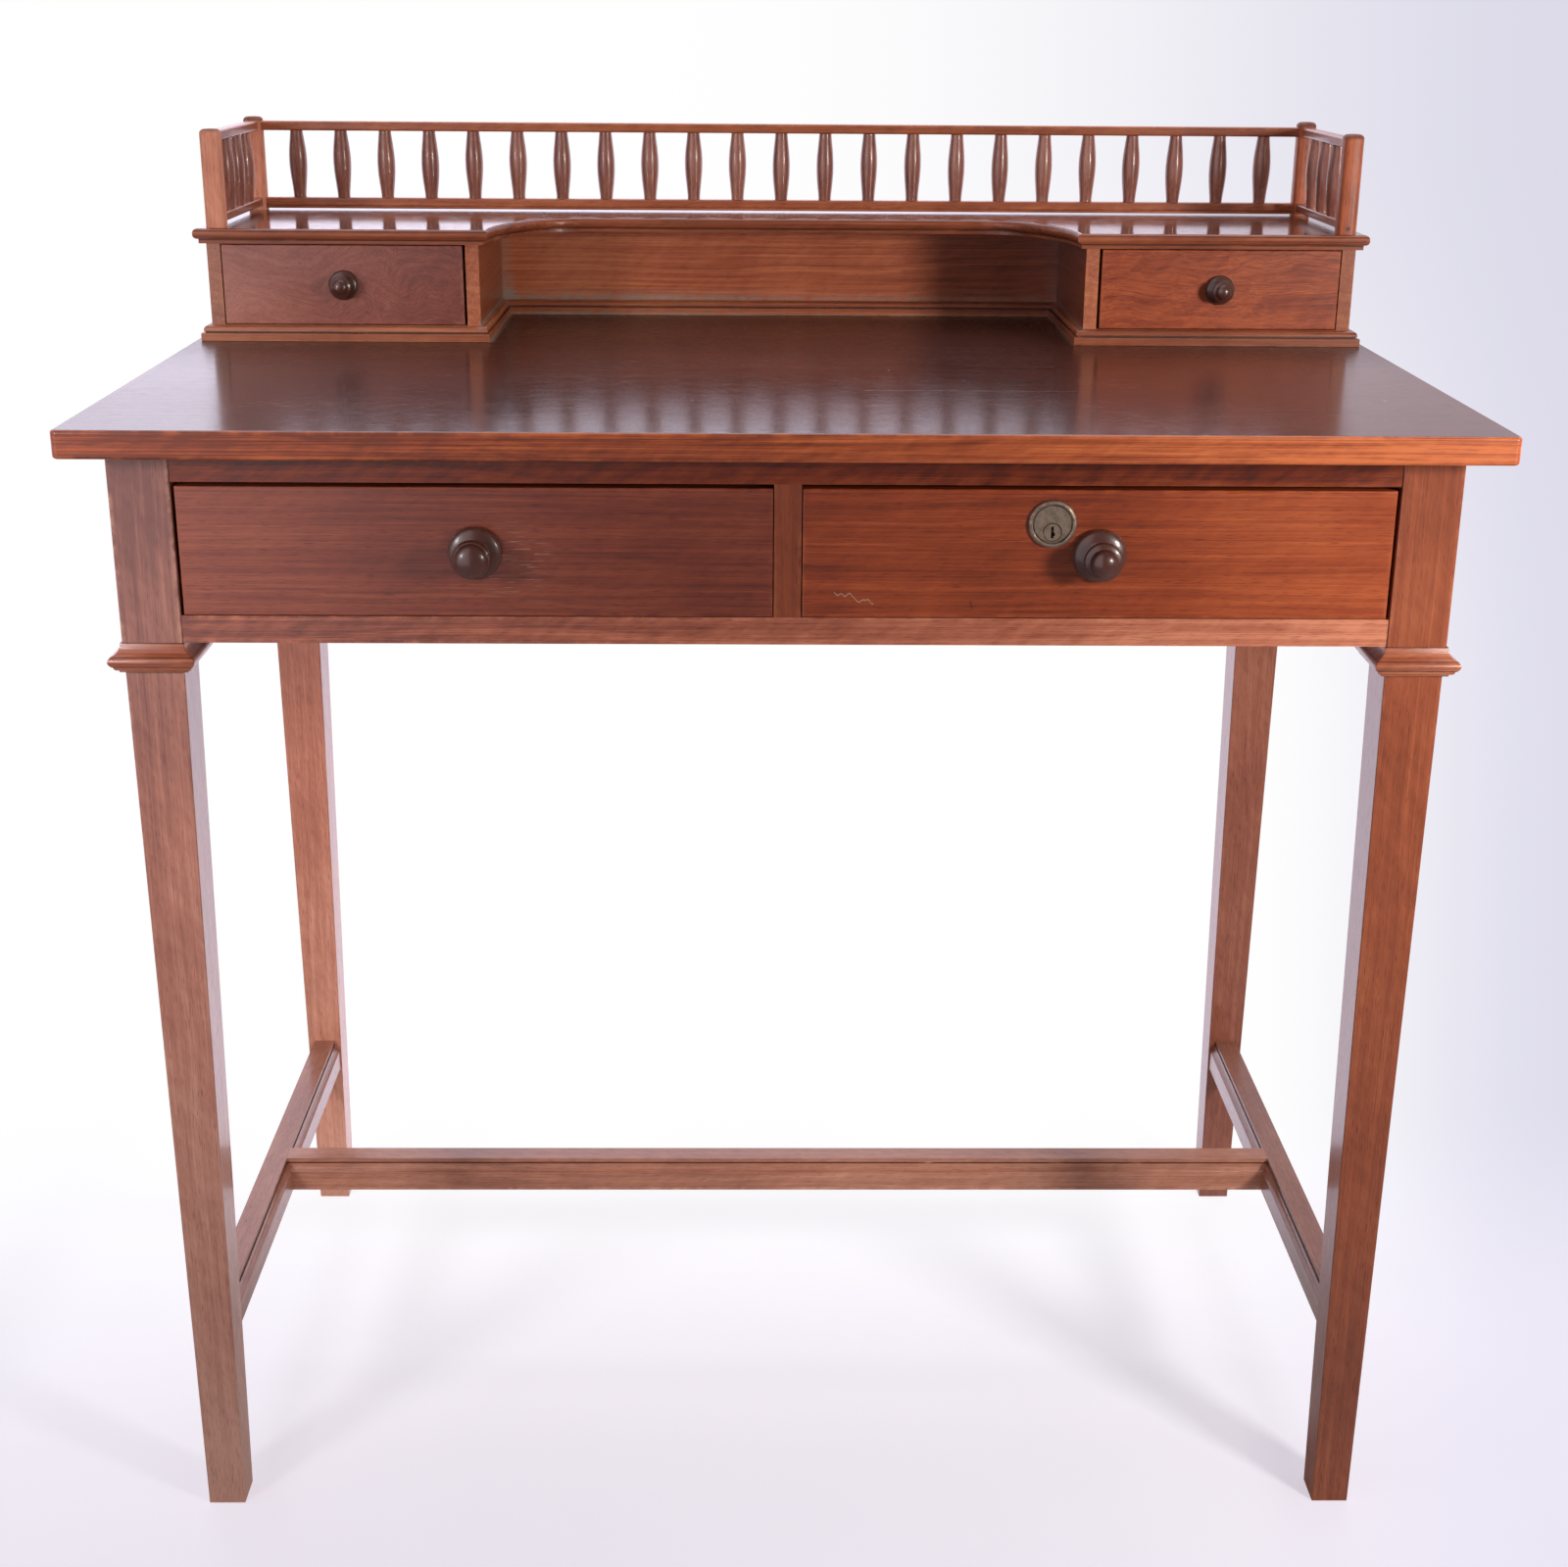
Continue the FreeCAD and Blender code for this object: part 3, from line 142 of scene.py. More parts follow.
class DeskStage(bpy.types.PropertyGroup):
    """Camera, floor and lights."""
    eye: bpy.props.FloatVectorProperty(name="Camera place", description="Where the camera stands", size=3,
                                       default=(-0.0203, -1.5379, 1.0005), subtype="TRANSLATION", unit="LENGTH")
    aim: bpy.props.FloatVectorProperty(name="Camera turn", description="Turn of the camera", size=3,
                                       default=tuple(math.radians(a) for a in (70.57, -0.4027, -0.6938)),
                                       subtype="EULER", unit="ROTATION")
    lens: bpy.props.FloatProperty(name="Lens", description="Focal length in millimetres", default=51.13,
                                  unit="CAMERA")
    floor: tint("Floor", "Colour of the floor", (0.86, 0.85, 0.90))
    left_power: bpy.props.FloatProperty(name="Left light", description="Power of the left soft light",
                                        default=0.95, unit="POWER")
    right_power: bpy.props.FloatProperty(name="Right light", description="Power of the right soft light",
                                         default=2.9, unit="POWER")
    top_power: bpy.props.FloatProperty(name="Top light", description="Power of the soft light overhead",
                                       default=13, unit="POWER")
    fill: share("Fill", "Strength of the even light from the white surroundings", 0.24)


# ---------------------------------------------------------------- shader expressions

class Value:
    """A shader socket whose arithmetic adds Math nodes."""

    def __init__(self, shade, socket):
        self.shade, self.socket = shade, socket

    def math(self, operation, *terms):
        return self.shade.add("ShaderNodeMath", {"operation": operation}, dict(enumerate(terms)))

    def __add__(self, other):
        return self.math("ADD", self, other)

    def __radd__(self, other):
        return self.math("ADD", other, self)

    def __sub__(self, other):
        return self.math("SUBTRACT", self, other)

    def __rsub__(self, other):
        return self.math("SUBTRACT", other, self)

    def __mul__(self, other):
        return self.math("MULTIPLY", self, other)

    def __rmul__(self, other):
        return self.math("MULTIPLY", other, self)

    def __truediv__(self, other):
        return self.math("DIVIDE", self, other)

    def __rtruediv__(self, other):
        return self.math("DIVIDE", other, self)

    def __pow__(self, other):
        return self.math("POWER", self, other)

    def __abs__(self):
        return self.math("ABSOLUTE", self)

    def least(self, other):
        return self.math("MINIMUM", self, other)

    def most(self, other):
        return self.math("MAXIMUM", self, other)

    def rise(self, low, high):
        """Smooth step from 0 at low to 1 at high."""
        return self.shade.add("ShaderNodeMapRange", {"interpolation_type": "SMOOTHSTEP"},
                              {"Value": self, "From Min": low, "From Max": high})

    def fall(self, low, high):
        """Smooth step from 1 at low to 0 at high."""
        return 1 - self.rise(low, high)


class Shade:
    """Node tree of one material or of the world."""

    def __init__(self, owner):
        owner.use_nodes = True
        self.tree = owner.node_tree
        self.tree.nodes.clear()

    def add(self, kind, settings=None, sockets=None, out=0):
        """Adds a node: its settings first, then the values or links of its sockets; gives the output named by out."""
        node = self.tree.nodes.new(kind)
        for name, value in (settings or {}).items():
            if name == "stops":
                first, *middle, last = value
                for element, (place, colour) in zip(node.color_ramp.elements, (first, last)):
                    element.position, element.color = place, (*colour, 1)
                for place, colour in middle:
                    node.color_ramp.elements.new(place).color = (*colour, 1)
            else:
                setattr(node, name, value)
        for name, value in (sockets or {}).items():
            if isinstance(value, Value):
                self.tree.links.new(value.socket, node.inputs[name])
            else:
                socket = node.inputs[name]
                socket.default_value = (*value, 1) if socket.type == "RGBA" and len(value) == 3 else value
        if isinstance(out, tuple):
            return tuple(Value(self, node.outputs[name]) for name in out)
        return Value(self, node.outputs[out]) if len(node.outputs) else node

    def spot(self):
        """Place on the object, in metres."""
        return self.add("ShaderNodeTexCoord", out="Object")

    def split(self, vector):
        """The three parts of a vector."""
        return self.add("ShaderNodeSeparateXYZ", None, {0: vector}, ("X", "Y", "Z"))

    def stretched(self, place, along, across):
        """Place scaled by along in x and by across in y and z."""
        return self.add("ShaderNodeVectorMath", {"operation": "MULTIPLY"}, {0: place, 1: (along, across, across)})

    def noise(self, place, scale=1.0, detail=2.0, rough=0.5):
        """Smooth noise from 0 to 1 about 0.5."""
        return self.add("ShaderNodeTexNoise", None,
                        {"Vector": place, "Scale": scale, "Detail": detail, "Roughness": rough})

    def figure(self, place, kind):
        """Noise drawn out along x, with the numbers of FIGURE."""
        along, across, detail, rough = FIGURE[kind]
        return self.noise(self.stretched(place, along, across), 1, detail, rough)

    def mix(self, factor, first, second, blend="MIX"):
        """Colour between first and second."""
        return self.add("ShaderNodeMix", {"data_type": "RGBA", "blend_type": blend},
                        {0: factor, 6: first, 7: second}, 2)

    def ramp(self, value, stops):
        """Colour looked up along a ramp."""
        return self.add("ShaderNodeValToRGB", {"stops": stops}, {0: value})

    def bump(self, height, strength, depth):
        """Normal raised by a height from 0 to 1 that stands for depth metres."""
        return self.add("ShaderNodeBump", None, {"Height": height, "Strength": strength, "Distance": depth})

    def surface(self, sockets):
        """Principled surface joined to the output."""
        shader = self.add("ShaderNodeBsdfPrincipled", None, sockets)
        self.add("ShaderNodeOutputMaterial", None, {"Surface": shader})


def along_grain(point, axis):
    """A point seen with x along the grain, as the turns of TURN give it."""
    x, y, z = point
    return {"X": (x, y, z), "Y": (y, -x, z), "Z": (z, y, -x)}[axis]


def edge_gap(shade, spot, corners):
    """Distance from the nearest arris of a squared board: the middle one of its distances to three faces."""
    gaps = [(part - low).least(high - part) for part, low, high in zip(shade.split(spot), *corners)]
    return gaps[0].least(gaps[1]).most(gaps[0].most(gaps[1]).least(gaps[2]))


def tones(kind, tinge=(1, 1, 1)):
    """Dark, body and pale colour of a kind of wood, each times a board's own tinge."""
    finish = bpy.context.scene.desk_finish
    return [tuple(min(1, c * t) for c, t in zip(getattr(finish, f"{kind}_{tone}"), tinge))
            for tone in ("dark", "mid", "light")]


def blank(name):
    """New material, its empty node tree and the place on the object in that tree."""
    material = bpy.data.materials.new(name)
    shade = Shade(material)
    return material, shade, shade.spot()


# A mark is a function of a node tree and the place on the object. It gives pairs of a cover from 0 to 1 and the
# colour that lies on the polish there.

def recess_dust(shade, spot):
    """Dust in the recess: clouds near its two back corners and along the seams of its moulding."""
    low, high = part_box("base_mouldings")
    inner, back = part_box("inner_side_right")[0].x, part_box("back_board")[0].y
    moulding_width = 0.007
    x, y, z = shade.split(spot)
    across, inward, rise = inner - abs(x), back - y, z - high.z
    corner = ((across * across + inward * inward) ** 0.5).fall(0.001, 0.012) * (1 - rise.rise(0.0, 0.03) * 0.6)
    haze = abs(inward).fall(0.001, 0.003) * rise.fall(0.002, 0.011) * 0.35
    nearest = across.least(inward)
    foot = abs(nearest - moulding_width).fall(0.0, 0.0035) * (z - low.z).fall(0.0, 0.004)
    seam = abs(nearest).fall(0.0005, 0.0025) * abs(rise).fall(0.0, 0.004)
    inside = across.rise(-0.012, -0.009) * inward.rise(-0.003, -0.001) * y.rise(low.y - 0.002, low.y + 0.004)
    cloud = shade.noise(spot, 120, 5, 0.7).rise(0.25, 0.62)
    thickness = (corner * 0.8 + foot * 0.7 + seam * 0.9 + haze).least(0.85)
    amount = thickness * cloud * inside * (1 - x.rise(-0.15, 0.05) * 0.55)
    return [(amount, tuple(bpy.context.scene.desk_finish.dust))]


def quirk_shade_and_dirt(*levels):
    """Mark of the dark in the quirks of a moulding, partly grime and partly painted shade in the crease: a dark line
    at each height, as strong as given with it and broken up by noise."""
    def mark(shade, spot):
        _, _, height = shade.split(spot)
        cloud = shade.noise(spot, 45, 3, 0.6).rise(0.2, 0.45)
        return [(abs(height - level).fall(0.0002, 0.0007) * cloud * strength, SHADE_AND_DIRT) for level, strength in levels]
    return mark


def end_grain(shade, spot):
    """Dark end grain on the heads of the gallery posts."""
    _, _, height = shade.split(spot)
    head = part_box("gallery_posts")[1].z
    return [(height.rise(head - 0.0055, head - 0.0025) * 0.75, (0.1, 0.036, 0.026))]


def top_marks(shade, spot):
    """Marks of the writing surface: darkening towards the recess, partly grime and partly painted shade of the recess
    and its boxes, the dark line of a glue joint and pale specks.
    """
    dark, speck_colour = tuple(bpy.context.scene.desk_finish.top_dark), (0.6, 0.56, 0.5)
    joint_y, joint_wander = -0.111, 0.002
    x, y, _ = shade.split(spot)
    # Painted shade, partly grime: the top darkens towards the recess at its back.
    dirt_and_shade = y.rise(-0.06, 0.12) * 0.75
    wander = shade.noise(shade.stretched(spot, 9, 0), 1, 2, 0.5) - MEAN
    joint = (abs(y - joint_y + wander * joint_wander).fall(0.0003, 0.0011) * x.rise(0.03, 0.08) * x.fall(0.17, 0.24)
             * 0.75)
    near, tag = shade.add("ShaderNodeTexVoronoi", None, {"Vector": spot, "Scale": 85}, ("Distance", "Color"))
    chosen, _, _ = shade.split(tag)
    speck = near.fall(0.03, 0.075) * chosen.rise(0.955, 0.965) * 0.8
    return [(dirt_and_shade, dark), (joint, dark), (speck, speck_colour)]


def hand_marks(shade, spot):
    """Marks on the wide drawer fronts: scuffs beside the left knob, a loose curl of a scratch, a crack beside the
    lock and a dent below it."""
    knob_x, knob_z = -0.165, 0.68
    scratch_x, scratch_z, scratch_slope, scratch_curl = 0.04, 0.658, 0.25, 0.014
    crack_z, crack_curl = 0.6936, 0.0012
    dent_x, dent_z, dent_slope = 0.1117, 0.6535, 0.2
    pale, grey, dark = (0.5, 0.3, 0.22), (0.6, 0.45, 0.38), (0.03, 0.008, 0.004)
    x, _, z = shade.split(spot)
    ring = ((x - knob_x) * (x - knob_x) + (z - knob_z) * (z - knob_z)) ** 0.5
    lines = shade.noise(shade.stretched(spot, 60, 900), 1, 2, 0.6).rise(0.56, 0.68)
    scuff = ring.fall(0.008, 0.03) * lines * 0.5
    curl = shade.noise(shade.stretched(spot, 150, 0), 1, 1, 0.5) - MEAN
    scratch = (abs(z - scratch_z - curl * scratch_curl + (x - scratch_x) * scratch_slope).fall(0.0001, 0.0005)
               * x.rise(0.028, 0.0285) * x.fall(0.052, 0.0525) * 0.55)
    crack = (abs(z - crack_z - curl * crack_curl).fall(0.0001, 0.0004) * x.rise(0.117, 0.122) * x.fall(0.138, 0.144)
             * 0.7)
    dent = (abs(x - dent_x + (z - dent_z) * dent_slope).fall(0.0003, 0.0011) * abs(z - dent_z).fall(0.0015, 0.0035)
            * 0.5)
    return [(scuff, pale), (scratch, grey), (crack, dark), (dent, dark)]


def wood(name, colours, axis, seed, corners, heart=(0.06, -0.28), gloss=None, coat=0.3, sheen=0.12, grain=1.0,
         ribbon=0.2, curl=0.0, brushed=0.0, wear=0.5, pores=0.6, light_slope=(0, 0, 0), skirt=None, marks=(), shine=0.4):
    """Polished wood. Growth layers are bands of noise over the distance from a heart line, bent by a slow warp;
    streaks and pores are noise drawn out along the grain; blotches and slanting ribbons vary the body colour.

    gloss is the roughness, that of the case unless given; coat and sheen are the weight and roughness of the clear
    coat and shine the strength of the mirror. grain is the strength of the lines and curl how far they are swirled
    about, in metres; brushed is the depth of fine ridges along the grain. light_slope is a direction in which the
    colour gets lighter, by its length for each metre from the middle: mostly painted light, lighter where more light
    falls or is mirrored. skirt gives other colours below a place on one axis, as colours, number of the axis, end and
    start of the change. marks are what lies on the polish; some of them are painted shade.
    """
    material, shade, spot = blank(name)
    if gloss is None:
        gloss = bpy.context.scene.desk_finish.case_gloss
    shift = (seed * 1.7, seed * 0.9, seed * 1.3)
    place = shade.add("ShaderNodeMapping", None, {"Vector": spot, "Rotation": TURN[axis], "Location": shift})
    if curl:
        swirl = shade.add("ShaderNodeTexNoise", None, {"Vector": place, "Scale": 14, "Detail": 2}, "Color")
        place = shade.add("ShaderNodeVectorMath", {"operation": "MULTIPLY_ADD"},
                          {0: swirl, 1: (curl, curl, curl), 2: place})
    centre = [(a + b) / 2 for a, b in zip(*corners)]
    middle = along_grain(centre, axis)
    _, across, deep = shade.split(place)
    off_across = across - (shift[1] + middle[1] + heart[0])
    off_deep = deep - (shift[2] + middle[2] + heart[1])
    layer = (off_across * off_across + off_deep * off_deep) ** 0.5 + shade.figure(place, "warp") * WARP_DEPTH
    ring = shade.add("ShaderNodeTexNoise", {"noise_dimensions": "1D"},
                     {"W": layer * LAYERS_PER_METRE, "Scale": 1, "Detail": 5, "Roughness": 0.62})
    streak, hair, band = (shade.figure(place, kind) for kind in ("streak", "hair", "band"))
    slant = shade.add("ShaderNodeMapping", None, {"Vector": place, "Rotation": RIBBON_SLANT})
    cross = shade.figure(slant, "cross")
    blotch = shade.noise(place, 7.5, 3, 0.55)
    lines = (ring - MEAN) * 0.34 + (streak - MEAN) * 0.40 + (hair - MEAN) * 0.42 + (band - MEAN) * 0.26
    tone = MEAN + lines * grain + (cross - MEAN) * ribbon + (blotch - MEAN) * 0.42
    parts = shade.split(spot)
    # Mostly painted light: the colour gets lighter along a direction, where more light falls or is mirrored.
    for part, start, gain in zip(parts, centre, light_slope):
        tone = tone + (part - start) * gain if gain else tone
    colour = shade.ramp(tone, list(zip(TONE_STOPS, colours)))
    pore = shade.figure(place, "pore").rise(0.58, 0.72)
    rub = edge_gap(shade, spot, corners).fall(0.0004, 0.0035) * shade.noise(place, 60, 4, 0.65).rise(0.45, 0.66)
    rub_colour = colours[2]
    rough = gloss + (blotch - MEAN) * 0.1 + pore * 0.1 + rub * 0.12
    weight = coat * (1 - rub * 0.6)
    if skirt:
        skirt_colours, side, low, high = skirt
        above = parts[side].rise(low, high)
        colour = shade.mix(above, shade.ramp(tone, list(zip(TONE_STOPS, skirt_colours))), colour)
        rub_colour = skirt_colours[2]
        rough = rough + (1 - above) * 0.2
    colour = shade.mix(pore * pores, colour, tuple(c ** 0.5 for c in colours[0]), "MULTIPLY")
    colour = shade.mix(rub * wear, colour, rub_colour)
    for mark in marks:
        for cover, cover_colour in mark(shade, spot):
            colour = shade.mix(cover, colour, cover_colour)
            rough = rough + cover * 0.15
            weight = weight * (1 - cover)
    height = streak * 0.35 - pore * pores
    if brushed:
        height = height + shade.figure(place, "ridge") * brushed
    shade.surface({"Base Color": colour, "Roughness": rough, "Coat Weight": weight, "Coat Roughness": sheen,
                   "Specular IOR Level": shine, "Normal": shade.bump(height, 0.1, 0.0004)})
    return material


def stained_knob():
    """Dark stained turned wood, rubbed paler on its rims, with fine turning lines."""
    finish, patch_colour = bpy.context.scene.desk_finish, (0.05, 0.024, 0.02)
    material, shade, spot = blank("knob_stain")
    lines = shade.noise(shade.stretched(spot, 120, 1500), 1, 2, 0.5)
    cloud = shade.noise(spot, 160, 3, 0.6)
    edge = shade.add("ShaderNodeAttribute", {"attribute_name": "rim"}, out="Fac")
    rub = edge * cloud.rise(0.3, 0.62)
    stain = shade.mix(cloud.rise(0.4, 0.75) * 0.35, tuple(finish.knob), patch_colour)
    colour = shade.mix(rub * 0.75, stain, tuple(finish.knob_worn))
    shade.surface({"Base Color": colour, "Roughness": 0.26 + cloud * 0.12 + rub * 0.15,
                   "Coat Weight": 0.25 - rub * 0.2, "Coat Roughness": 0.1, "Specular IOR Level": 0.4,
                   "Normal": shade.bump(lines, 0.08, 0.0003)})
    return material


def dull_brass():
    """Old brass, brown with tarnish in patches and scratched fine."""
    finish = bpy.context.scene.desk_finish
    material, shade, spot = blank("dull_brass")
    cloud = shade.noise(spot, 240, 4, 0.65)
    grit = shade.noise(spot, 2600, 2, 0.6)
    tarnish = cloud.rise(0.34, 0.66) * 0.7 + grit.rise(0.5, 0.75) * 0.3
    colour = shade.mix(tarnish, tuple(finish.brass), tuple(finish.brass_dark))
    shade.surface({"Base Color": colour, "Metallic": 0.85 - tarnish * 0.35, "Roughness": 0.42 + tarnish * 0.25,
                   "Normal": shade.bump(grit, 0.12, 0.0002)})
    return material


def old_iron():
    """Dull iron, brown with rust in patches."""
    finish = bpy.context.scene.desk_finish
    material, shade, spot = blank("old_iron")
    cloud = shade.noise(spot, 130, 5, 0.68)
    grit = shade.noise(spot, 1900, 2, 0.6)
    rusted = (cloud + grit * 0.3).rise(0.6, 0.8)
    colour = shade.mix(rusted, tuple(finish.steel), tuple(finish.rust))
    shade.surface({"Base Color": colour, "Metallic": 0.75 - rusted * 0.75, "Roughness": 0.55 + rusted * 0.3,
                   "Normal": shade.bump(grit, 0.15, 0.0002)})
    return material


def sideways(across, forth, up):
    """How far to the side of the view a spot lies: its distance across divided by its depth along the line of sight,
    which falls by a third of its length."""
    return (across - forth * 0.0121) / (forth * 0.943 - up * 0.333)


def studio_floor(stage):
    """Matt cloth mixed with a glow that stands for the lit paper of a studio.

    Near the desk the camera sees a fifth of the glow, so that the shadows stay, and all of it far off and behind,
    where floor and surroundings run together; the glow is made brighter by as much as less of it is seen. Mirrored
    rays meet a bright glow behind the desk. To the right of the view the glow is grey, as painted shade. Towards its
    rim the floor turns clear.
    """
    near_front, near_back = (0.525, 0.50, 0.565), (0.58, 0.57, 0.615)
    mirrored = (1.6, 1.5, 1.75)
    material, shade, spot = blank("studio_floor")
    x, y, _ = shade.split(spot)
    eye = Vector(stage.eye)
    behind = y.rise(-0.05, 0.4)
    radius = (x * x + y * y) ** 0.5
    far = radius.rise(0.8, 1.7).most(behind)
    aside = sideways(x - eye.x, y - eye.y, -eye.z)
    stains = shade.noise(spot, 9, 4, 0.6)
    colour = shade.mix(stains.rise(0.35, 0.8) * 0.5, tuple(stage.floor), tuple(c * 0.95 for c in stage.floor))
    cloth = shade.add("ShaderNodeBsdfDiffuse", None, {"Color": colour})
    near = shade.mix(y.rise(-0.3, 0.22), near_front, near_back)
    grey = shade.mix(far, GREY_NEAR, GREY_LOW)
    # Painted shade: grey on the floor to the right of the view.
    right = aside.rise(*GREY_START) * aside.fall(*GREY_END) * y.rise(-0.8, -0.4)
    plain = shade.mix(right, shade.mix(far, near, WHITE), grey)
    camera_ray, glossy_ray = shade.add("ShaderNodeLightPath", out=("Is Camera Ray", "Is Glossy Ray"))
    share_seen = 0.2 + far * 0.8
    bright = shade.add("ShaderNodeVectorMath", {"operation": "SCALE"}, {0: plain, "Scale": 1 / share_seen})
    glow = shade.add("ShaderNodeEmission", None, {
        "Color": shade.mix(glossy_ray * (1 - camera_ray), bright, mirrored), "Strength": 1})
    seen = share_seen * camera_ray + behind * glossy_ray * (1 - camera_ray)
    mixed = shade.add("ShaderNodeMixShader", None, {0: seen, 1: cloth, 2: glow})
    clear = shade.add("ShaderNodeBsdfTransparent")
    melted = shade.add("ShaderNodeMixShader", None, {0: radius.rise(1.5, 2.5), 1: mixed, 2: clear})
    shade.add("ShaderNodeOutputMaterial", None, {"Surface": melted})
    return material


def white_room(stage):
    """Surroundings: white to the camera, with grey painted shade towards the right; a room with a bright panel to
    mirrored rays, greyer towards the right as well; and an even weak light to all others."""
    room_white, room_grey, room_dark = (1.75, 1.62, 1.9), (0.74, 0.63, 0.69), (0.15, 0.15, 0.16)
    panel_white = (1.8, 1.75, 1.9)
    world = bpy.data.worlds.new("white_room")
    sky = Shade(world)
    camera_ray, glossy_ray, clear_ray = sky.add(
        "ShaderNodeLightPath", out=("Is Camera Ray", "Is Glossy Ray", "Is Transmission Ray"))
    side, back, up = sky.split(sky.add("ShaderNodeTexCoord", out="Generated"))
    aside = sideways(side, back, up)
    low_grey, high_grey, high = aside.rise(*GREY_START), aside.rise(-0.15, 0.36) ** 2, up.rise(-0.3, -0.05)
    # Painted shade: the surroundings turn grey towards the right.
    grey = (low_grey + (high_grey - low_grey) * high) * back.rise(0.05, 0.2) * aside.fall(*GREY_END)
    screen = sky.mix(grey, WHITE, sky.mix(high, GREY_LOW, GREY_HIGH))
    panel = (0 - side).rise(0.06, 0.24) * (0 - back).rise(0.2, 0.6)
    room = sky.mix(grey, room_white, room_grey)
    lit = sky.mix(back.rise(-0.15, 0.3), sky.mix(panel, room_dark, panel_white), room)
    shown = sky.add("ShaderNodeBackground", None, {"Color": sky.mix(glossy_ray, screen, lit), "Strength": 1})
    even = sky.add("ShaderNodeBackground", None, {"Color": (0.97, 0.97, 1.0), "Strength": stage.fill})
    direct = camera_ray.most(glossy_ray).most(clear_ray)
    blend = sky.add("ShaderNodeMixShader", None, {0: direct, 1: even, 2: shown})
    sky.add("ShaderNodeOutputWorld", None, {"Surface": blend})
    return world


# ---------------------------------------------------------------- surfaces from arrays

def surface(name, grid, around=False, ring=False, low_pole=None, high_pole=None, ends=False):
    """Mesh of equal grids of points, shaped (copies, rows, columns, 3), with faces between neighbours.

    around joins the last column to the first and ring the last row to the first. A pole is one point per copy that
    closes the first or last row with a fan, and ends closes the first and last row of columns with one flat face.
    """
    copies, rows, columns = grid.shape[:3]
    one = np.arange(rows * columns).reshape(rows, columns)
    wide = np.concatenate([one, one[:, :1]], 1) if around else one
    tall = np.concatenate([wide, wide[:1]], 0) if ring else wide
    quads = np.stack([tall[:-1, :-1], tall[:-1, 1:], tall[1:, 1:], tall[1:, :-1]], -1).reshape(-1, 4)
    step = np.arange(copies)[:, None, None] * rows * columns
    points, faces = [grid.reshape(-1, 3)], (quads[None] + step).reshape(-1, 4).tolist()
    count = copies * rows * columns
    for pole, row, turn in ((low_pole, 0, -1), (high_pole, -1, 1)):
        if pole is None:
            continue
        pair = np.stack([wide[row, :-1], wide[row, 1:]][::turn], -1)
        tip = np.zeros((len(pair), 1), int)
        fan = np.concatenate([pair, tip], -1)[None] + np.concatenate([step, step, 0 * step], -1)
        fan[..., 2] = count + np.arange(copies)[:, None]
        faces += fan.reshape(-1, 3).tolist()
        points.append(np.asarray(pole, float).reshape(copies, 3))
        count += copies
    if ends:
        faces += (one[:, 0][None] + step[:, :, 0]).tolist() + (one[:, -1][None, ::-1] + step[:, :, 0]).tolist()
    mesh = bpy.data.meshes.new(name)
    mesh.from_pydata(np.concatenate(points).tolist(), [], faces)
    mesh.validate()
    mesh.shade_smooth()
    mesh.set_sharp_from_angle(angle=SHARP_ANGLE)
    piece = bpy.data.objects.new(name, mesh)
    bpy.context.scene.collection.objects.link(piece)
    return piece


def eased(points, part=0.35, steps=4):
    """Polyline with each inner corner replaced by a quadratic curve from part of the way along one neighbouring
    run to part of the way along the other."""
    corner = points[1:-1]
    enter = corner + (points[:-2] - corner) * part
    leave = corner + (points[2:] - corner) * part
    t = np.linspace(0, 1, steps)[None, :, None]
    curve = (1 - t) ** 2 * enter[:, None] + 2 * t * (1 - t) * corner[:, None] + t ** 2 * leave[:, None]
    return np.concatenate([points[:1], curve.reshape(-1, points.shape[1]), points[-1:]])


def lathe(name, outline, centres, axes, columns):
    """Turned pieces: each outline point (radius, height) goes round a centre line as
    centre + height * third axis + radius * (cos * first axis + sin * second axis); both ends are poles.

    outline is (copies, rows, 2) or (rows, 2), centres (copies, 3).
    """
    centres = np.asarray(centres, float)
    outline = np.broadcast_to(outline, (len(centres), *np.shape(outline)[-2:]))
    first, second, third = np.asarray(axes, float)
    turn = np.linspace(0, 2 * math.pi, columns, endpoint=False)
    spoke = np.cos(turn)[:, None] * first + np.sin(turn)[:, None] * second
    line = centres[:, None] + outline[:, :, 1:] * third
    grid = line[:, 1:-1, None] + outline[:, 1:-1, None, :1] * spoke
    return surface(name, grid, around=True, low_pole=line[:, 0], high_pole=line[:, -1])


def rounded_square(half, level, radius, arc=5):
    """Rows of a square prism with rounded corners: at each level four quarter circles of that radius, their
    centres at half - radius on both sides of the middle."""
    turn = (np.arange(4)[:, None] * math.pi / 2 + np.linspace(0, math.pi / 2, arc)[None]).ravel()
    sign_x = np.repeat([1, -1, -1, 1], arc)
    sign_y = np.repeat([1, 1, -1, -1], arc)
    half, level = np.asarray(half)[:, None], np.asarray(level)[:, None]
    x = sign_x * (half - radius) + radius * np.cos(turn)
    y = sign_y * (half - radius) + radius * np.sin(turn)
    return np.stack(np.broadcast_arrays(x, y, level), -1)


def bow(start, end, bulge, steps=6):
    """Points after start up to end on a flat curve that stands out by bulge at its middle, to the right of travel."""
    start, end = np.asarray(start, float), np.asarray(end, float)
    run = end - start
    out = np.array([run[1], -run[0]]) / math.hypot(*run)
    t = np.linspace(0, 1, steps)[1:, None]
    return start + run * t + out * (4 * bulge * t * (1 - t))


def fitted(piece, body, material, slot, *nodes):
    """Gives a new piece its material and body and hides the CAD nodes that it stands for. slot is not used."""
    piece.data.materials.append(material)
    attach(piece, body)
    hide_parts(*nodes)
    return piece


def coat_node(node, material):
    """Puts a material into every slot of a CAD node."""
    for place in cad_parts[node].material_slots:
        place.material = material


# ---------------------------------------------------------------- operators

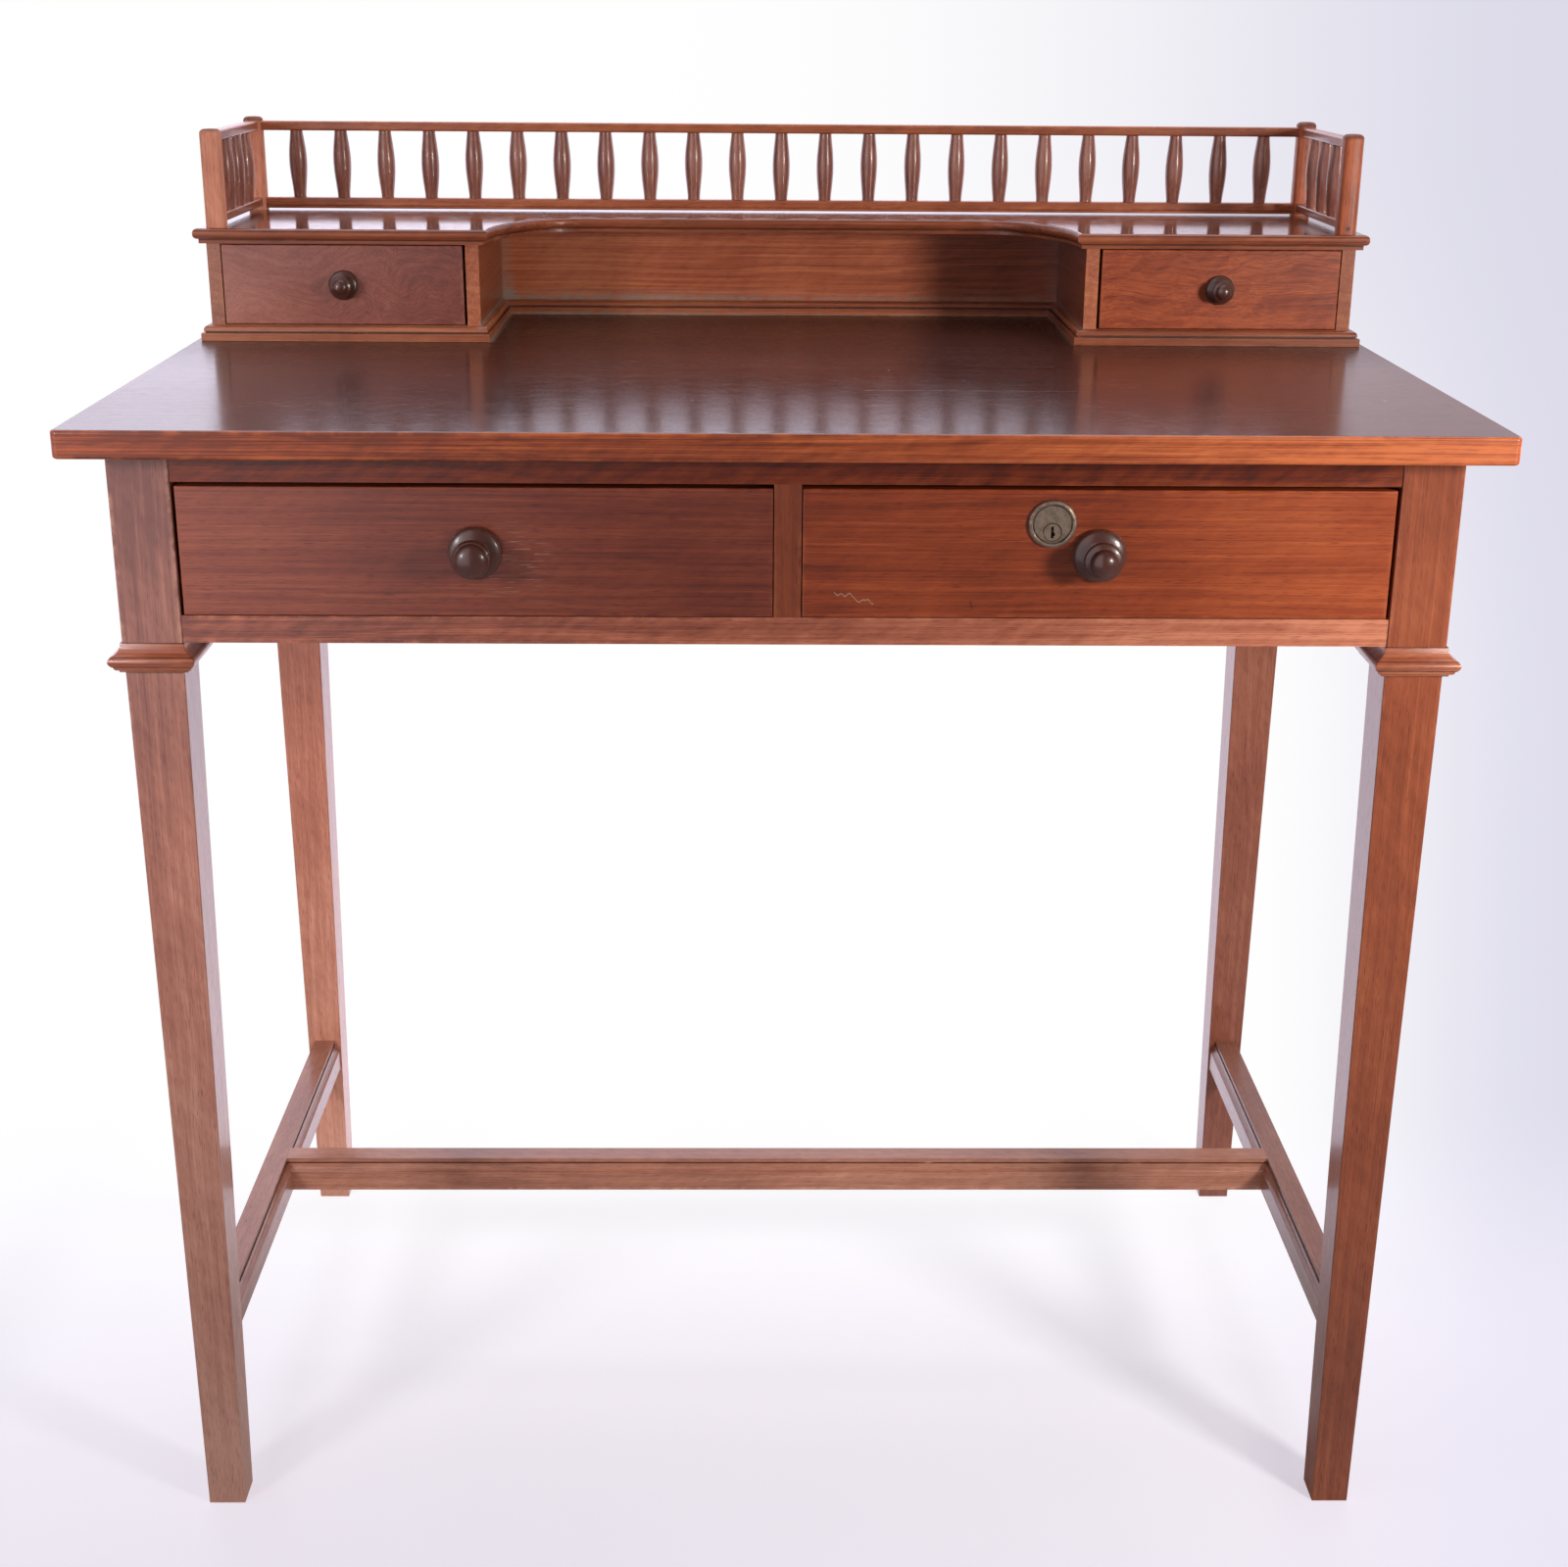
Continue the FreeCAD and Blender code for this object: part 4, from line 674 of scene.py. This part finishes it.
class DESK_OT_boards(bpy.types.Operator):
    """Polish the legs, rails, stretchers and gallery boards"""
    bl_idname = "desk.boards"
    bl_label = "Polish Boards"

    def execute(self, context):
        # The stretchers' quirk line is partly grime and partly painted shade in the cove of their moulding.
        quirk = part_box("cross_stretcher")[1].z - 0.0035
        plain, calm, dusty = {}, {"grain": 0.55}, {"marks": (recess_dust,)}
        paler_below = {**calm, "light_slope": (0, 0, -0.6)}
        grooved = {**calm, "marks": (quirk_shade_and_dirt((quirk, 0.8)),)}
        front_edge = tones("case", (1.5, 1.75, 2.1))
        cut = {}
        for node in ("inner_side_left", "inner_side_right"):
            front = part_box(node)[0].y
            cut[node] = {**dusty, "skirt": (front_edge, 1, front + 0.0003, front + 0.001)}
        # Each board: direction of its grain, seed, tinge and other settings of its wood. The tinges are partly
        # painted light:
        # many boards, most of all the left legs, the left outer side, the bottom rail and the stretchers, are paler
        # and bluer as painted reflection of the white surroundings and the left lamp, on the stretchers partly dust
        # as well; the front top rail is darker as painted shade under the top's overhang, and inner_side_right as
        # painted shade of the right box.
        # The bottom rail gets lighter towards the right lamp and the back board towards the left, which the right
        # lamp lights
        # while its box shades the right end: painted light. The left legs get lighter towards the bottom.
        boards = {
            "leg_front_left": ("Z", 1.3, (1.55, 2.8, 5.6), paler_below),
            "leg_front_right": ("Z", 2.9, (1.1, 1.2, 1.4), calm),
            "leg_back_left": ("Z", 4.1, (1.8, 3.0, 5.6), paler_below),
            "leg_back_right": ("Z", 5.7, (1.1, 1.55, 2.6), calm),
            "front_top_rail": ("X", 6.3, (0.55, 0.33, 0.17), {"ribbon": 0.9, "grain": 1.3, "coat": 0.1}),
            "front_bottom_rail": ("X", 7.9, (1.5, 1.92, 3.0), {"ribbon": 0.35, "light_slope": (0.6, 0, 0)}),
            "drawer_divider": ("Z", 8.4, (0.85, 0.8, 0.8), calm),
            "side_apron_left": ("Y", 9.6, (1, 1.1, 1.3), plain),
            "side_apron_right": ("Y", 10.2, (1, 1.1, 1.2), plain),
            "back_apron": ("X", 11.8, (0.95, 0.95, 1.0), plain),
            "side_stretcher_left": ("Y", 12.5, (1.4, 2.45, 4.5), grooved),
            "side_stretcher_right": ("Y", 13.1, (1.05, 1.8, 3.3), grooved),
            "cross_stretcher": ("X", 14.7, (1.8, 3.3, 6.0), grooved),
            "outer_side_left": ("Y", 15.3, (1.2, 1.6, 2.2), plain),
            "outer_side_right": ("Y", 16.9, (1.1, 1.2, 1.3), plain),
            "inner_side_left": ("Y", 17.2, (0.9, 0.85, 0.85), cut["inner_side_left"]),
            "inner_side_right": ("Y", 18.8, (0.7, 0.6, 0.6), cut["inner_side_right"]),
            "back_board": ("X", 19.4, (1.4, 1.5, 1.7), {**dusty, "light_slope": (-0.35, 0, 0)}),
            "gallery_back_rails": ("X", 21.7, (1.5, 1.8, 2.1), calm),
            "gallery_side_rails": ("Y", 22.2, (1.3, 1.6, 1.9), calm),
            "post_peg": ("Y", 23.6, (0.5, 0.5, 0.5), plain),
        }
        for node, (axis, seed, tinge, extra) in boards.items():
            coat_node(node, wood(node + "_polish", tones("case", tinge), axis, seed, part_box(node), **extra))
        return {"FINISHED"}


class DESK_OT_top(bpy.types.Operator):
    """Polish the writing surface and the gallery shelf"""
    bl_idname = "desk.top"
    bl_label = "Polish Top"

    def execute(self, context):
        gloss = context.scene.desk_finish.top_gloss
        low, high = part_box("table_top")
        edge = tones("case", (1.5, 1.35, 1.1)), 2, high.z - 0.0004, high.z - 0.00005
        # The top gets lighter towards the right: painted sheen of the right lamp.
        coat_node("table_top", wood(
            "top_polish", tones("top"), "X", 24.4, (low, high), heart=(0.02, -0.11), gloss=gloss, coat=0.1, sheen=0.5,
            grain=1.7, brushed=1.5, pores=0.3, ribbon=0.35, light_slope=(0.4, 0, 0), skirt=edge,
            marks=(top_marks, recess_dust)))
        low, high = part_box("gallery_shelf")
        nose = tones("case", (1.2, 1.4, 1.8)), 2, high.z - 0.0008, high.z - 0.0002
        # Of the shelf's two quirk lines the lower one is painted shadow under the nose, the upper one partly grime
        # and partly painted shade in its groove.
        coat_node("gallery_shelf", wood(
            "shelf_polish", tones("case", (0.45, 0.42, 0.42)), "X", 25.8, (low, high), gloss=gloss - 0.07, coat=0.0,
            brushed=0.3, pores=0.3, wear=0.4, skirt=nose, shine=0.3,
            marks=(quirk_shade_and_dirt((high.z - 0.0015, 0.6), (high.z - 0.0078, 0.9)),)))
        return {"FINISHED"}


class DESK_OT_drawers(bpy.types.Operator):
    """Polish the drawer fronts and finish their linings, runners and floors"""
    bl_idname = "desk.drawers"
    bl_label = "Finish Drawers"

    def execute(self, context):
        bare = {"coat": 0.0, "wear": 0.2, "pores": 0.4}
        # Each drawer: seed, tinge and other settings of its front's wood. Tinges and light slopes are partly painted
        # light:
        # the left fronts are darker and bluer and lighter towards the left lamp, the right fronts warmer and the wide
        # right one lighter towards the right lamp.
        fronts = {
            "left_drawer": (27.3, (0.71, 0.59, 0.74), {"light_slope": (-0.6, 0, 0), "marks": (hand_marks,)}),
            "right_drawer": (28.6, (1.05, 0.8, 0.6), {"light_slope": (0.5, 0, 0), "marks": (hand_marks,)}),
            "upper_left_drawer": (29.1, (1.0, 1.18, 2.1), {"light_slope": (-1.5, 0, 0), "curl": 0.08, "grain": 0.75}),
            "upper_right_drawer": (31.5, (1.08, 0.8, 0.6), {"curl": 0.02, "ribbon": 0.4, "grain": 1.4}),
        }
        for drawer, (seed, tinge, extra) in fronts.items():
            front = drawer + "_front"
            coat_node(front, wood(front + "_polish", tones("case", tinge), "X", seed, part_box(front),
                                  heart=(0.02, -0.22), **extra))
            for piece, axis in (("sides", "Y"), ("back", "X"), ("bottom", "X")):
                node = f"{drawer}_{piece}"
                coat_node(node, wood(node + "_plain", tones("inner"), axis, seed + 0.31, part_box(node), gloss=0.62,
                                     **bare))
        for node, axis in (("drawer_runners", "Y"), ("drawer_guides", "Y"), ("drawer_kickers", "Y"),
                           ("drawer_stops", "X"), ("box_floors", "X")):
            coat_node(node, wood(node + "_plain", tones("inner"), axis, 33.7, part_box(node), gloss=0.66, **bare))
        return {"FINISHED"}


class DESK_OT_knobs(bpy.types.Operator):
    """Turn the four drawer knobs"""
    bl_idname = "desk.knobs"
    bl_label = "Turn Knobs"

    def execute(self, context):
        shapes = context.scene.desk_shapes
        stain = stained_knob()
        # Outline from the drawer's face to the dome, in parts of the base's radius and of the reach.
        pin = 0.34
        outline = np.array([
            (0.95, 0.0), (1.0, 0.05), (1.0, 0.12), (0.93, 0.185), (0.74, 0.235), (0.53, 0.265), (0.46, 0.36),
            (0.46, 0.48), (0.55, 0.57), (0.69, 0.60), (0.74, 0.66), (0.715, 0.735)])
        dome_foot, dome_rise = 0.80, 0.20
        lift = np.linspace(0, math.pi / 2, 12)[1:]
        rim_height, rim_spread = np.array([0.14, 0.66, 0.79]), np.array([0.05, 0.05, 0.025])
        wide = shapes.knob_base, shapes.knob_reach
        small = shapes.small_base, shapes.small_reach
        for drawer, (base, reach), dome in (("left_drawer", wide, 0.64), ("right_drawer", wide, 0.52),
                                            ("upper_left_drawer", small, 0.54), ("upper_right_drawer", small, 0.52)):
            crown = np.stack([dome * np.cos(lift), dome_foot + dome_rise * np.sin(lift)], -1)
            side = np.concatenate([outline, [(dome + 0.04, 0.775), (dome, 0.79)]])
            node = drawer + "_knob"
            low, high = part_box(node)
            tail = (high.y - low.y - reach) / reach
            shape = np.concatenate([[(0, -tail), (pin, -tail), (pin, 0)], eased(side, 0.4), crown])
            face = (low.x + high.x) / 2, low.y + reach, (low.z + high.z) / 2
            piece = lathe(drawer + "_turned_knob", shape * (base / 2, reach), [face],
                          ((1, 0, 0), (0, 0, 1), (0, -1, 0)), 64)
            spots = np.empty(len(piece.data.vertices) * 3, np.float32)
            piece.data.vertices.foreach_get("co", spots)
            rise = (face[1] - spots.reshape(-1, 3)[:, 1:2]) / reach
            rim = np.exp(-((rise - rim_height) / rim_spread) ** 2).max(1)
            piece.data.attributes.new("rim", "FLOAT", "POINT").data.foreach_set("value", rim.astype(np.float32))
            fitted(piece, drawer, stain, "dark_wood", node)
        return {"FINISHED"}


class DESK_OT_spindles(bpy.types.Operator):
    """Turn the gallery spindles"""
    bl_idname = "desk.spindles"
    bl_label = "Turn Spindles"

    def execute(self, context):
        shapes = context.scene.desk_shapes
        end, mid, pin = shapes.spindle_end / 2, shapes.spindle_mid / 2, 0.0022
        back_count, side_count, rows, columns = 23, 3, 27, 20
        low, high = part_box("back_spindles")
        side_low, side_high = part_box("side_spindles")
        rail_low, rail_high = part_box("gallery_back_rails")
        bottom, top = rail_low.z + 0.0065, rail_high.z - 0.007
        middle_y = (low.y + high.y) / 2
        half = (high.y - low.y) / 2
        back_x = np.linspace(low.x + half, high.x - half, back_count)
        back = np.stack(np.broadcast_arrays(back_x, middle_y, 0.0), -1)
        side_y = np.linspace(side_low.y + half, side_high.y - half, side_count)
        side = np.concatenate([np.stack(np.broadcast_arrays(x, side_y, 0.0), -1)
                               for x in (side_low.x + half, side_high.x - half)])
        rise = np.linspace(0, 1, rows)
        for name, node, centres in (("turned_back_spindles", "back_spindles", back),
                                    ("turned_side_spindles", "side_spindles", side)):
            # Hand turning leaves some spindles slimmer and puts the swell higher or lower.
            count = np.arange(len(centres))[:, None]
            swell = 1 + 0.05 * np.sin(count * 12.9)
            skew = 1.06 + 0.10 * np.sin(count * 7.7 + 1)
            radius = end + (mid * np.minimum(swell, 1) - end) * np.sin(math.pi * rise ** skew) ** 1.25
            height = np.broadcast_to(bottom + (top - bottom) * rise, radius.shape)
            foot = np.broadcast_to([(0, low.z), (pin, low.z), (pin, bottom)], (len(centres), 3, 2))
            head = np.broadcast_to([(pin, top), (pin, high.z), (0, high.z)], (len(centres), 3, 2))
            outline = np.concatenate([foot, np.stack([radius, height], -1), head], 1)
            piece = lathe(name, outline, centres, np.eye(3), columns)
            polish = wood(node + "_polish", tones("case", (1.12, 1.75, 3.4)), "Z", 35.2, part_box(node), wear=0.0)
            fitted(piece, "desk", polish, "case_wood", node)
        return {"FINISHED"}


class DESK_OT_rail_strip(bpy.types.Operator):
    """Fix the thin strip under the low back rail of the gallery"""
    bl_idname = "desk.rail_strip"
    bl_label = "Fix Rail Strip"

    def execute(self, context):
        gap, sunk, soft, into_post = 0.0012, 0.0002, 0.0006, 0.004
        low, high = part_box("gallery_back_rails")
        left, right = (corner.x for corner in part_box("gallery_posts"))
        foot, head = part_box("gallery_shelf")[1].z + gap, low.z + sunk
        section = np.array([(low.y, head), (low.y, foot + soft), (low.y + soft, foot), (high.y - soft, foot),
                            (high.y, foot + soft), (high.y, head)])
        ends = np.array([left + into_post, right - into_post])
        grid = np.stack(np.broadcast_arrays(ends[:, None], section[:, 0], section[:, 1]), -1)
        caps = np.stack(np.broadcast_arrays(ends, (low.y + high.y) / 2, (foot + head) / 2), -1)
        piece = surface("rail_strip", grid[None], around=True, low_pole=caps[:1], high_pole=caps[1:])
        polish = wood("strip_polish", tones("case", (1.3, 1.6, 1.9)), "X", 21.6, (low, high), wear=0.0)
        fitted(piece, "desk", polish, "case_wood")
        return {"FINISHED"}


class DESK_OT_posts(bpy.types.Operator):
    """Shape the domed gallery posts"""
    bl_idname = "desk.posts"
    bl_label = "Shape Posts"

    def execute(self, context):
        shapes = context.scene.desk_shapes
        half, into_shelf = 0.007, 0.0005
        lowered = np.array([(0, 0, 0.0025), (0, 0, 0.001), (0, 0, 0.001), (0, 0, 0)])
        low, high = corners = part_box("gallery_posts")
        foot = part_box("gallery_shelf")[1].z - into_shelf
        bend = np.linspace(0, math.pi / 2, 7)[1:]
        shoulder = high.z - shapes.post_dome
        inset = np.concatenate([[0, 0], shapes.post_dome * (1 - np.cos(bend))])
        level = np.concatenate([[foot, shoulder], shoulder + shapes.post_dome * np.sin(bend)])
        grid = rounded_square(half - inset, level, shapes.post_round)
        centres = np.array([(x, y, 0.0) for x in (low.x + half, high.x - half)
                            for y in (low.y + half, high.y - half)])
        above_foot = (np.arange(len(level)) > 0)[:, None, None]
        grid = grid[None] + centres[:, None, None] - lowered[:, None, None] * above_foot
        tops = centres + (0, 0, high.z) - lowered
        feet = centres + (0, 0, foot)
        piece = surface("shaped_posts", grid, around=True, low_pole=feet, high_pole=tops)
        # The left posts are paler and bluer and lighter towards the left: painted reflection of the white
        # surroundings and the left lamp.
        left = tones("case", (2.15, 3.2, 5.6)), 0, -0.1, 0.1
        polish = wood("post_polish", tones("case", (2.15, 2.45, 2.6)), "Z", 37.9, corners, wear=0.0, skirt=left,
                      light_slope=(-0.25, 0, 0), grain=0.6, coat=0.0, marks=(end_grain,),
                      gloss=context.scene.desk_finish.case_gloss + 0.1)
        fitted(piece, "desk", polish, "case_wood", "gallery_posts")
        return {"FINISHED"}


class DESK_OT_collars(bpy.types.Operator):
    """Run the moulded collars round the legs"""
    bl_idname = "desk.collars"
    bl_label = "Mould Collars"

    def execute(self, context):
        low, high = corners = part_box("leg_collars")
        leg_low, leg_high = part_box("leg_front_left")
        half, stands_out = (leg_high.x - leg_low.x) / 2, 8 * MM
        # Section in millimetres: out from the leg's side and up from the collar's foot.
        profile = np.concatenate([
            [(-0.3, 0.0), (2.3, 0.0), (2.5, 0.2), (2.5, 1.2)], bow((2.5, 1.2), (5.5, 4.2), 1.0),
            [(6.4, 4.2), (6.6, 4.5)], bow((6.6, 4.5), (6.5, 10.2), 1.4), bow((6.5, 10.2), (1.0, 17.8), -1.6),
            [(0.9, 18.0), (-0.3, 18.0)]]) * MM
        grid = rounded_square(half + profile[:, 0], low.z + profile[:, 1], context.scene.desk_shapes.mitre_round)
        middle_x, middle_y = high.x - half - stands_out, high.y - half - stands_out
        centres = np.array([(x, y, 0) for x in (-middle_x, middle_x) for y in (-middle_y, middle_y)])
        piece = surface("moulded_collars", grid[None] + centres[:, None, None], around=True, ring=True)
        # The collars' quirk lines are partly grime and partly painted shade where the collar meets the leg and in its
        # creases.
        dirt_and_shade = quirk_shade_and_dirt((low.z, 0.8), (low.z + 0.0042, 0.9), (low.z + 0.0102, 0.5), (high.z, 0.8))
        polish = wood("collar_polish", tones("case", (1.4, 1.8, 2.4)), "X", 39.4, corners, wear=0.0, marks=(dirt_and_shade,))
        fitted(piece, "desk", polish, "case_wood", "leg_collars")
        return {"FINISHED"}


class DESK_OT_mouldings(bpy.types.Operator):
    """Run the base moulding round the foot of the superstructure"""
    bl_idname = "desk.mouldings"
    bl_label = "Mould Base"

    def execute(self, context):
        low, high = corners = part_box("base_mouldings")
        inner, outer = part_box("inner_side_right")[0].x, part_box("outer_side_right")[1].x
        front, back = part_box("outer_side_right")[0].y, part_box("back_board")[0].y
        path = np.array([(-outer, high.y), (-outer, front), (-inner, front), (-inner, back),
                         (inner, back), (inner, front), (outer, front), (outer, high.y)])
        # Section in millimetres: out from the board and up from the table top.
        profile = np.concatenate([
            [(-0.2, 0.0), (6.8, 0.0), (7.0, 0.2), (7.0, 5.3), (6.8, 5.5), (4.4, 5.7), (4.4, 6.7), (5.2, 6.8),
             (5.4, 7.1)],
            bow((5.4, 7.1), (1.6, 10.8), 1.2), [(1.4, 11.0), (-0.2, 11.0)]]) * MM
        run = np.diff(path, axis=0)
        side = np.stack([-run[:, 1], run[:, 0]], -1) / np.linalg.norm(run, axis=1)[:, None]
        before, after = np.concatenate([side[:1], side]), np.concatenate([side, side[-1:]])
        mitre = -(before + after) / (1 + (before * after).sum(1))[:, None]
        flat = path[None] + profile[:, :1, None] * mitre[None]
        height = np.broadcast_to(low.z + profile[:, 1, None, None], (*flat.shape[:2], 1))
        grid = np.concatenate([flat, height], -1)
        piece = surface("base_run", grid[None], ring=True, ends=True)
        # The base moulding's quirk line is partly grime and partly painted shade in the gap between its two parts.
        polish = wood("base_polish", tones("case", (1.1, 1.25, 1.4)), "X", 41.1, corners, wear=0.2,
                      light_slope=(-0.3, 0, 0), marks=(quirk_shade_and_dirt((low.z + 0.0061, 0.9)), recess_dust))
        fitted(piece, "desk", polish, "case_wood", "base_mouldings")
        return {"FINISHED"}


class DESK_OT_lock(bpy.types.Operator):
    """Finish the lock and the screws"""
    bl_idname = "desk.lock"
    bl_label = "Finish Lock"

    def execute(self, context):
        brass, iron = dull_brass(), old_iron()
        low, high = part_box("lock_cylinder")
        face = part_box("right_drawer_front")[0].y
        # Section in millimetres: radius, height over the drawer's face and drop of the circle's middle.
        inner, back, drop = 5.35, (face - high.y) / MM, 5.0
        rim = eased(np.array([(14.8, 0.0, 0.0), (14.8, 0.9, 0.0), (14.3, 1.9, 0.0), (13.2, 2.5, 0.0),
                              (12.3, 2.45, 0.0), (11.85, 1.9, 0.0), (11.8, 0.7, 0.0)]), 0.35)
        rows = np.concatenate([
            [(11.35, back, 0.0), (11.35, 0.0, 0.0)], rim,
            [(11.3, 0.7, 0.0), (11.25, 1.45, 0.0), (11.0, 1.65, 0.0), (inner + 0.5, 1.65, drop), (inner, 1.1, drop),
             (inner, back, drop)]]) * MM
        turn = np.linspace(0, 2 * math.pi, 72, endpoint=False)
        radius, height, fall = (rows[:, k, None] for k in range(3))
        grid = np.stack(np.broadcast_arrays((low.x + high.x) / 2 + radius * np.cos(turn), face - height,
                                            (low.z + high.z) / 2 - fall + radius * np.sin(turn)), -1)
        piece = surface("lock_face", grid[None], around=True, ring=True)
        fitted(piece, "right_drawer", brass, "lock_brass", "lock_cylinder")
        coat_node("lock_plug", brass)
        for node in ("lock_case", "lock_bolt", "lock_screws", "top_screws"):
            coat_node(node, iron)
        return {"FINISHED"}


class DESK_OT_stage(bpy.types.Operator):
    """Set up the floor, lights, white surroundings and camera"""
    bl_idname = "desk.stage"
    bl_label = "Set Stage"

    def execute(self, context):
        scene, stage = context.scene, context.scene.desk_stage
        scene.view_settings.view_transform = "Standard"
        reach = np.linspace(-2.6, 2.6, 2)
        floor = surface("floor", np.stack(np.broadcast_arrays(reach[None], reach[:, None], 0.0), -1)[None])
        floor.data.materials.append(studio_floor(stage))
        scene.world = white_room(stage)

        # Each light: place, what it points at, power, colour, side of its square and spread in degrees.
        lights = {
            "left_light": ((-0.95, -1.0, 0.95), (-0.52, -0.2, 0.58), stage.left_power, (0.98, 0.96, 1.0), 0.22, 54),
            "right_light": ((1.05, -1.08, 0.96), (0.48, -0.2, 0.62), stage.right_power, (1.0, 0.97, 0.93), 0.22, 76),
            "top_light": ((0.0, 0.5, 2.9), (0.0, 0.1, 0.0), stage.top_power, (1.0, 1.0, 1.0), 2.2, 120),
        }
        for name, (place, aim, power, colour, size, spread) in lights.items():
            lamp = bpy.data.lights.new(name, "AREA")
            lamp.energy, lamp.color, lamp.shape, lamp.size = power, colour, "SQUARE", size
            lamp.spread = math.radians(spread)
            holder = bpy.data.objects.new(name, lamp)
            scene.collection.objects.link(holder)
            holder.location = place
            holder.rotation_euler = (Vector(place) - Vector(aim)).to_track_quat("Z", "Y").to_euler()

        camera = bpy.data.cameras.new("camera")
        camera.lens, camera.sensor_width = stage.lens, 36
        viewer = bpy.data.objects.new("camera", camera)
        viewer.location, viewer.rotation_euler = stage.eye, stage.aim
        scene.collection.objects.link(viewer)
        scene.camera = viewer
        return {"FINISHED"}


OPERATORS = (DESK_OT_boards, DESK_OT_top, DESK_OT_drawers, DESK_OT_knobs, DESK_OT_spindles, DESK_OT_rail_strip,
             DESK_OT_posts, DESK_OT_collars, DESK_OT_mouldings, DESK_OT_lock, DESK_OT_stage)


class DESK_PT_panel(bpy.types.Panel):
    """Steps of the desk's finish"""
    bl_label = "Writing Desk"
    bl_idname = "DESK_PT_panel"
    bl_space_type = "VIEW_3D"
    bl_region_type = "UI"
    bl_category = "Desk"

    def draw(self, context):
        for step in OPERATORS:
            self.layout.operator(step.bl_idname)


GROUPS = {"desk_finish": DeskFinish, "desk_shapes": DeskShapes, "desk_stage": DeskStage}


def register():
    for kind in (*GROUPS.values(), *OPERATORS, DESK_PT_panel):
        bpy.utils.register_class(kind)
    for name, kind in GROUPS.items():
        setattr(bpy.types.Scene, name, bpy.props.PointerProperty(type=kind))


def unregister():
    for name in GROUPS:
        delattr(bpy.types.Scene, name)
    for kind in (DESK_PT_panel, *reversed(OPERATORS), *GROUPS.values()):
        bpy.utils.unregister_class(kind)


def main():
    register()
    for step in OPERATORS:
        group, name = step.bl_idname.split(".")
        getattr(getattr(bpy.ops, group), name)()


if __name__ == "__main__":
    main()
